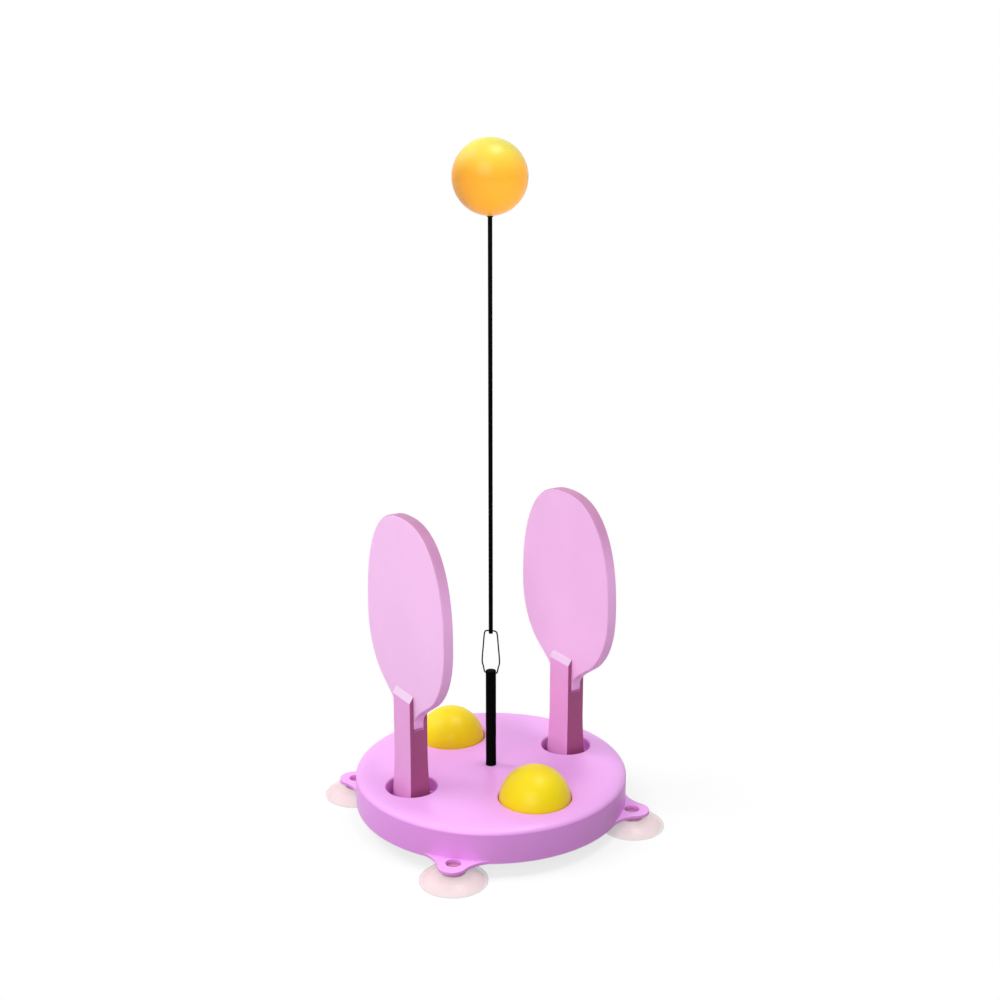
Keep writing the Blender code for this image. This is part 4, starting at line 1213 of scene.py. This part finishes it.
def handle(rackets, node):
    """A handle: a rounded rectangle on a flared foot, with a slot for the blade and sloping tops.

    The flare at a height is the foot's flare times a power of the share of the way down to the foot.
    """
    depth = BLADE_THICKNESS + 2 * (rackets.scale + rackets.gap)
    outline = rounded_rectangle(depth / 2, rackets.width / 2, rackets.corner, steps=8)
    heights = np.append(np.linspace(HANDLE_FOOT, rackets.flare_top, 33), HANDLE_TIP)
    share = np.clip((rackets.flare_top - heights) / (rackets.flare_top - HANDLE_FOOT), 0, 1)
    flare = rackets.flare * share**rackets.flare_power
    bar = surface("handle", stacked(outline[None] + flare[:, None, None] * np.sign(outline)[None], heights))
    inner, wide = BLADE_THICKNESS / 2 + rackets.gap, rackets.width
    slot_end = (inner, wide, HANDLE_TIP + rackets.scale)
    cut = [block("slot", (-inner, -wide, TONGUE_END - rackets.gap), slot_end)]
    slope = (HANDLE_TIP - rackets.shoulder) / rackets.scale
    past = rackets.scale / 3
    outer, top = depth / 2 + past, HANDLE_TIP + past * slope
    wedge = np.array([(outer, rackets.shoulder - past * slope), (outer, top), (inner - past, top)])
    for angle in (0, pi):
        tool = surface("wedge", plate(wedge, wedge.mean(0), -wide, wide))
        tool.transform(Matrix.Rotation(angle, 4, "Z") @ Matrix.Rotation(pi / 2, 4, "X"))
        cut.append(tool)
    return moved(carved(bar, cut=cut), footing(node))


# Operators, one for each piece or group of like pieces, and one for the stage

class TRAINER_OT_base(bpy.types.Operator):
    """Make the moulded base with its bowls, wells and lugs"""

    bl_idname = "trainer.base"
    bl_label = "Base moulding"

    def execute(self, context):
        trainer = context.scene.trainer
        mesh = base_moulding(trainer.base, trainer.cups)
        # Marks the upright faces, which get painted shade
        mark_faces(mesh, upright=upright)
        flat_shading(piece("base_moulding", mesh, look(base_plastic), "base", ["base_shell"]))
        return {"FINISHED"}


class TRAINER_OT_underside(bpy.types.Operator):
    """Make the cover under the base and its four screws"""

    bl_idname = "trainer.underside"
    bl_label = "Cover and screws"

    def execute(self, context):
        mesh = cover_plate(context.scene.trainer.base)
        # Marks the upright faces, which get painted shade
        mark_faces(mesh, upright=upright)
        flat_shading(piece("cover_plate", mesh, look(base_plastic), "base", ["bottom_cover"]))
        for name in DIAGONALS:
            node = "cover_screw_" + name
            piece("screw_" + name, cover_screw(node), look(plain_steel), "base", [node])
        return {"FINISHED"}


class TRAINER_OT_cups(bpy.types.Operator):
    """Make the four suction cups"""

    bl_idname = "trainer.cups"
    bl_label = "Suction cups"

    def execute(self, context):
        trainer = context.scene.trainer
        profile = softened(cup_profile(trainer.base, trainer.cups), trainer.cups.gap)
        for name in DIAGONALS:
            node = "suction_cup_" + name
            mesh = lathed("cup", profile, footing(node))
            piece("cup_" + name, mesh, look(cup_rubber), "base", [node])
        return {"FINISHED"}


class TRAINER_OT_post(bpy.types.Operator):
    """Make the post, and finish the washer and the nut that hold it"""

    bl_idname = "trainer.post"
    bl_label = "Post"

    def execute(self, context):
        mesh = post_shank(context.scene.trainer.rod)
        piece("post_shank", mesh, look(post_plastic), "base", ["post"])
        for node in ("post_washer", "post_nut"):
            frame["nodes"][node].data.materials.clear()
            frame["nodes"][node].data.materials.append(look(plain_steel))
        return {"FINISHED"}


class TRAINER_OT_spring(bpy.types.Operator):
    """Make the spring wire loop"""

    bl_idname = "trainer.spring"
    bl_label = "Spring loop"

    def execute(self, context):
        mesh = wire_loop(context.scene.trainer.rod)
        piece("wire_loop", mesh, look(spring_wire), "loop", ["spring_loop"])
        return {"FINISHED"}


class TRAINER_OT_rod(bpy.types.Operator):
    """Make the rod and the plug at its top"""

    bl_idname = "trainer.rod"
    bl_label = "Rod and plug"

    def execute(self, context):
        trainer = context.scene.trainer
        piece("rod", rod_shape(trainer.rod), look(post_plastic), "shaft", ["shaft"])
        plug = rod_plug(trainer.rod, trainer.balls)
        piece("rod_plug", plug, look(post_plastic), "shaft", ["ball_plug"])
        return {"FINISHED"}


class TRAINER_OT_balls(bpy.types.Operator):
    """Make the top ball and the two spare balls, each in two halves"""

    bl_idname = "trainer.balls"
    bl_label = "Balls"

    def execute(self, context):
        balls = context.scene.trainer.balls
        for part in ("upper", "lower"):
            upper = part == "upper"
            mesh = ball_half(balls, (0, 0, TOP_BALL_CENTRE), upper, 0.0 if upper else balls.hole)
            node = "top_ball_" + part
            piece("ball_top_" + part, mesh, look(top_ball_plastic), "top_ball", [node])
            for name in SPARE_BALLS:
                body = "spare_ball_" + name
                node = body + "_" + part
                mesh = ball_half(balls, footing(node) + [0, 0, SPARE_BALL_CENTRE], upper)
                yellow = look(spare_ball_plastic)
                piece("ball_" + name + "_" + part, mesh, yellow, body, [node])
        return {"FINISHED"}


class TRAINER_OT_rackets(bpy.types.Operator):
    """Make the two rackets, each a blade and a handle"""

    bl_idname = "trainer.rackets"
    bl_label = "Rackets"

    def execute(self, context):
        rackets = context.scene.trainer.rackets
        for name in RACKETS:
            body = "racket_" + name
            flat = blade(rackets, body + "_blade")
            # Marks the rim, which gets painted shade
            mark_faces(flat, rim=blade_rim)
            made = piece("blade_" + name, flat, look(blade_plastic), body, [body + "_blade"])
            flat_shading(made)
            grip = handle(rackets, body + "_handle")
            # Marks the narrow sides for painted shade and the sloping tops for painted light
            mark_faces(grip, narrow_side=narrow_side, sloping_top=sloping_top)
            made = piece("grip_" + name, grip, look(handle_plastic), body, [body + "_handle"])
            round_edges(made, rackets.edge)
            flat_shading(made)
        return {"FINISHED"}


class TRAINER_OT_stage(bpy.types.Operator):
    """Make the floor, the white surroundings, the lights and the camera"""

    bl_idname = "trainer.stage"
    bl_label = "Stage"

    def execute(self, context):
        stage = context.scene.trainer.stage
        add_floor(stage)
        add_sky(stage)
        add_lights(stage)
        add_camera(stage)
        context.scene.view_settings.view_transform = "Standard"
        return {"FINISHED"}


# Stage

def shown_share(tree):
    """1 for what the camera sees, straight, mirrored or through clear plastic, and 0 for other light."""
    path = add_node(tree, "ShaderNodeLightPath").outputs
    mirrored = maths(tree, "MAXIMUM", path["Is Camera Ray"], path["Is Glossy Ray"])
    return maths(tree, "MAXIMUM", mirrored, path["Is Transmission Ray"])


def outward_share(tree, first, last):
    """A soft step on the floor from 0 to 1 between two distances from the base's axis, in base radii."""
    reach = add_node(tree, "ShaderNodeVectorMath", {0: object_point(tree)}, operation="LENGTH")
    ends = (first * BASE_RADIUS, last * BASE_RADIUS)
    return ranged(tree, reach.outputs["Value"], ends, interpolation="SMOOTHSTEP")


def add_floor(stage):
    """A round floor that shows white and keeps the object's shadow, and lights the object less near it."""
    rings = np.linspace(0, FLOOR_REACH * BASE_RADIUS, 9)[:, None] * [1, 0]
    floor = bpy.data.objects.new("floor", lathed("floor", rings))
    bpy.context.scene.collection.objects.link(floor)
    if floor.data.polygons[0].normal.z < 0:
        floor.data.flip_normals()
    made, tree, shader = new_material("pale_floor")
    shader.inputs["Roughness"].default_value = 1.0
    shader.inputs["Specular IOR Level"].default_value = 0.0
    shown = shown_share(tree)
    near, far = opaque(stage.floor_near), opaque(stage.floor_far)
    lit = mixed_colour(tree, outward_share(tree, *FLOOR_SHADE), near, far)
    feed(tree, shader.inputs["Base Color"], mixed_colour(tree, shown, lit, opaque(stage.floor_seen)))
    fade = ranged(tree, outward_share(tree, *FLOOR_FADE), (0.0, 1.0), (stage.floor_white, 1.0))
    white = add_node(tree, "ShaderNodeEmission", {"Color": (1, 1, 1, 1), "Strength": 1.0}).outputs["Emission"]
    inputs = {0: maths(tree, "MULTIPLY", shown, fade), 1: shader.outputs["BSDF"], 2: white}
    mixed = add_node(tree, "ShaderNodeMixShader", inputs).outputs["Shader"]
    feed(tree, tree.nodes["Material Output"].inputs["Surface"], mixed)
    floor.data.materials.append(made)


def add_sky(stage):
    """White surroundings as the camera sees them, and a plain dim light from all round for the object."""
    world = bpy.data.worlds.new("studio")
    world.use_nodes = True
    tree = world.node_tree
    background = tree.nodes["Background"]
    background.inputs["Color"].default_value = (1, 1, 1, 1)
    feed(tree, background.inputs["Strength"], ranged(tree, shown_share(tree), (0.0, 1.0), (stage.sky, 1.0)))
    bpy.context.scene.world = world


def view_turned(stage, vector):
    """A place or a way, given with X to the camera's right and Y away from it, in the part's own frame."""
    return Matrix.Rotation(stage.azimuth, 3, "Z") @ Vector(vector)


def add_light(stage, name, way, power, aim=BLADE_TOP / 2, near=1.0):
    """A square soft light that looks at a height on the axis, from the lights' distance times near."""
    lamp = bpy.data.lights.new(name, "AREA")
    lamp.shape = "SQUARE"
    lamp.size = stage.light_size * near
    lamp.energy = power
    made = bpy.data.objects.new(name, lamp)
    azimuth, height = np.radians(way)
    towards = Vector((cos(height) * cos(azimuth), cos(height) * sin(azimuth), sin(height)))
    target = Vector((0, 0, aim))
    made.location = target + view_turned(stage, towards) * stage.light_distance * near
    made.rotation_euler = (target - made.location).to_track_quat("-Z", "Y").to_euler()
    made.visible_camera = False
    bpy.context.scene.collection.objects.link(made)
    return made


def add_lights(stage):
    """The soft lights all round, and a small one on the top ball."""
    made = {}
    for name, way in LIGHTS.items():
        made[name] = add_light(stage, name + "_light", way, getattr(stage, name))
    made["overhead"].data.size = stage.overhead_size
    ball = add_light(stage, "ball_light", BALL_LIGHT, stage.ball_light, TOP_BALL_CENTRE, BALL_LIGHT_NEAR)
    ball.data.size = stage.ball_light_size
    ball.data.spread = BALL_LIGHT_SPREAD
    for light in (made["left"], ball):
        light.visible_glossy = False


def add_camera(stage):
    """A camera whose pitch and yaw put the sight point on its pixel of the picture."""
    scene = bpy.context.scene
    lens = bpy.data.cameras.new("camera")
    lens.lens = stage.focal_pixels * lens.sensor_width / PICTURE
    lens.clip_start = stage.distance / 100
    lens.clip_end = stage.distance * 100
    camera = bpy.data.objects.new("camera", lens)
    pitch = stage.elevation - arctan2(stage.sight_down - PICTURE / 2, stage.focal_pixels)
    yaw = arctan2(stage.sight_across - PICTURE / 2, stage.focal_pixels)
    back, up = stage.distance * cos(stage.elevation), stage.distance * sin(stage.elevation)
    ahead = (sin(-yaw) * cos(pitch), cos(yaw) * cos(pitch), -sin(pitch))
    camera.location = view_turned(stage, (0, -back, up + stage.sight_height))
    camera.rotation_euler = view_turned(stage, ahead).to_track_quat("-Z", "Y").to_euler()
    scene.collection.objects.link(camera)
    scene.camera = camera


# Panel and registration

OPERATORS = (
    TRAINER_OT_base,
    TRAINER_OT_underside,
    TRAINER_OT_cups,
    TRAINER_OT_post,
    TRAINER_OT_spring,
    TRAINER_OT_rod,
    TRAINER_OT_balls,
    TRAINER_OT_rackets,
    TRAINER_OT_stage,
)
GROUPS = (
    BaseSettings,
    CupSettings,
    RodSettings,
    BallSettings,
    RacketSettings,
    ColourSettings,
    StageSettings,
    TrainerSettings,
)


class TRAINER_PT_panel(bpy.types.Panel):
    """Lists the trainer's operators and settings"""

    bl_idname = "TRAINER_PT_panel"
    bl_label = "Table Tennis Trainer"
    bl_space_type = "VIEW_3D"
    bl_region_type = "UI"
    bl_category = "Trainer"

    def draw(self, context):
        for operator in OPERATORS:
            self.layout.operator(operator.bl_idname)
        trainer = context.scene.trainer
        for group in trainer.__annotations__:
            settings = getattr(trainer, group)
            box = self.layout.box()
            box.label(text=group.capitalize())
            for name in settings.__annotations__:
                box.prop(settings, name)


def register():
    for found in (*GROUPS, *OPERATORS, TRAINER_PT_panel):
        bpy.utils.register_class(found)
    bpy.types.Scene.trainer = PointerProperty(type=TrainerSettings)


def unregister():
    del bpy.types.Scene.trainer
    for found in reversed((*GROUPS, *OPERATORS, TRAINER_PT_panel)):
        bpy.utils.unregister_class(found)


def main():
    register()
    for operator in OPERATORS:
        getattr(bpy.ops.trainer, operator.bl_idname.removeprefix("trainer."))()


if __name__ == "__main__":
    main()
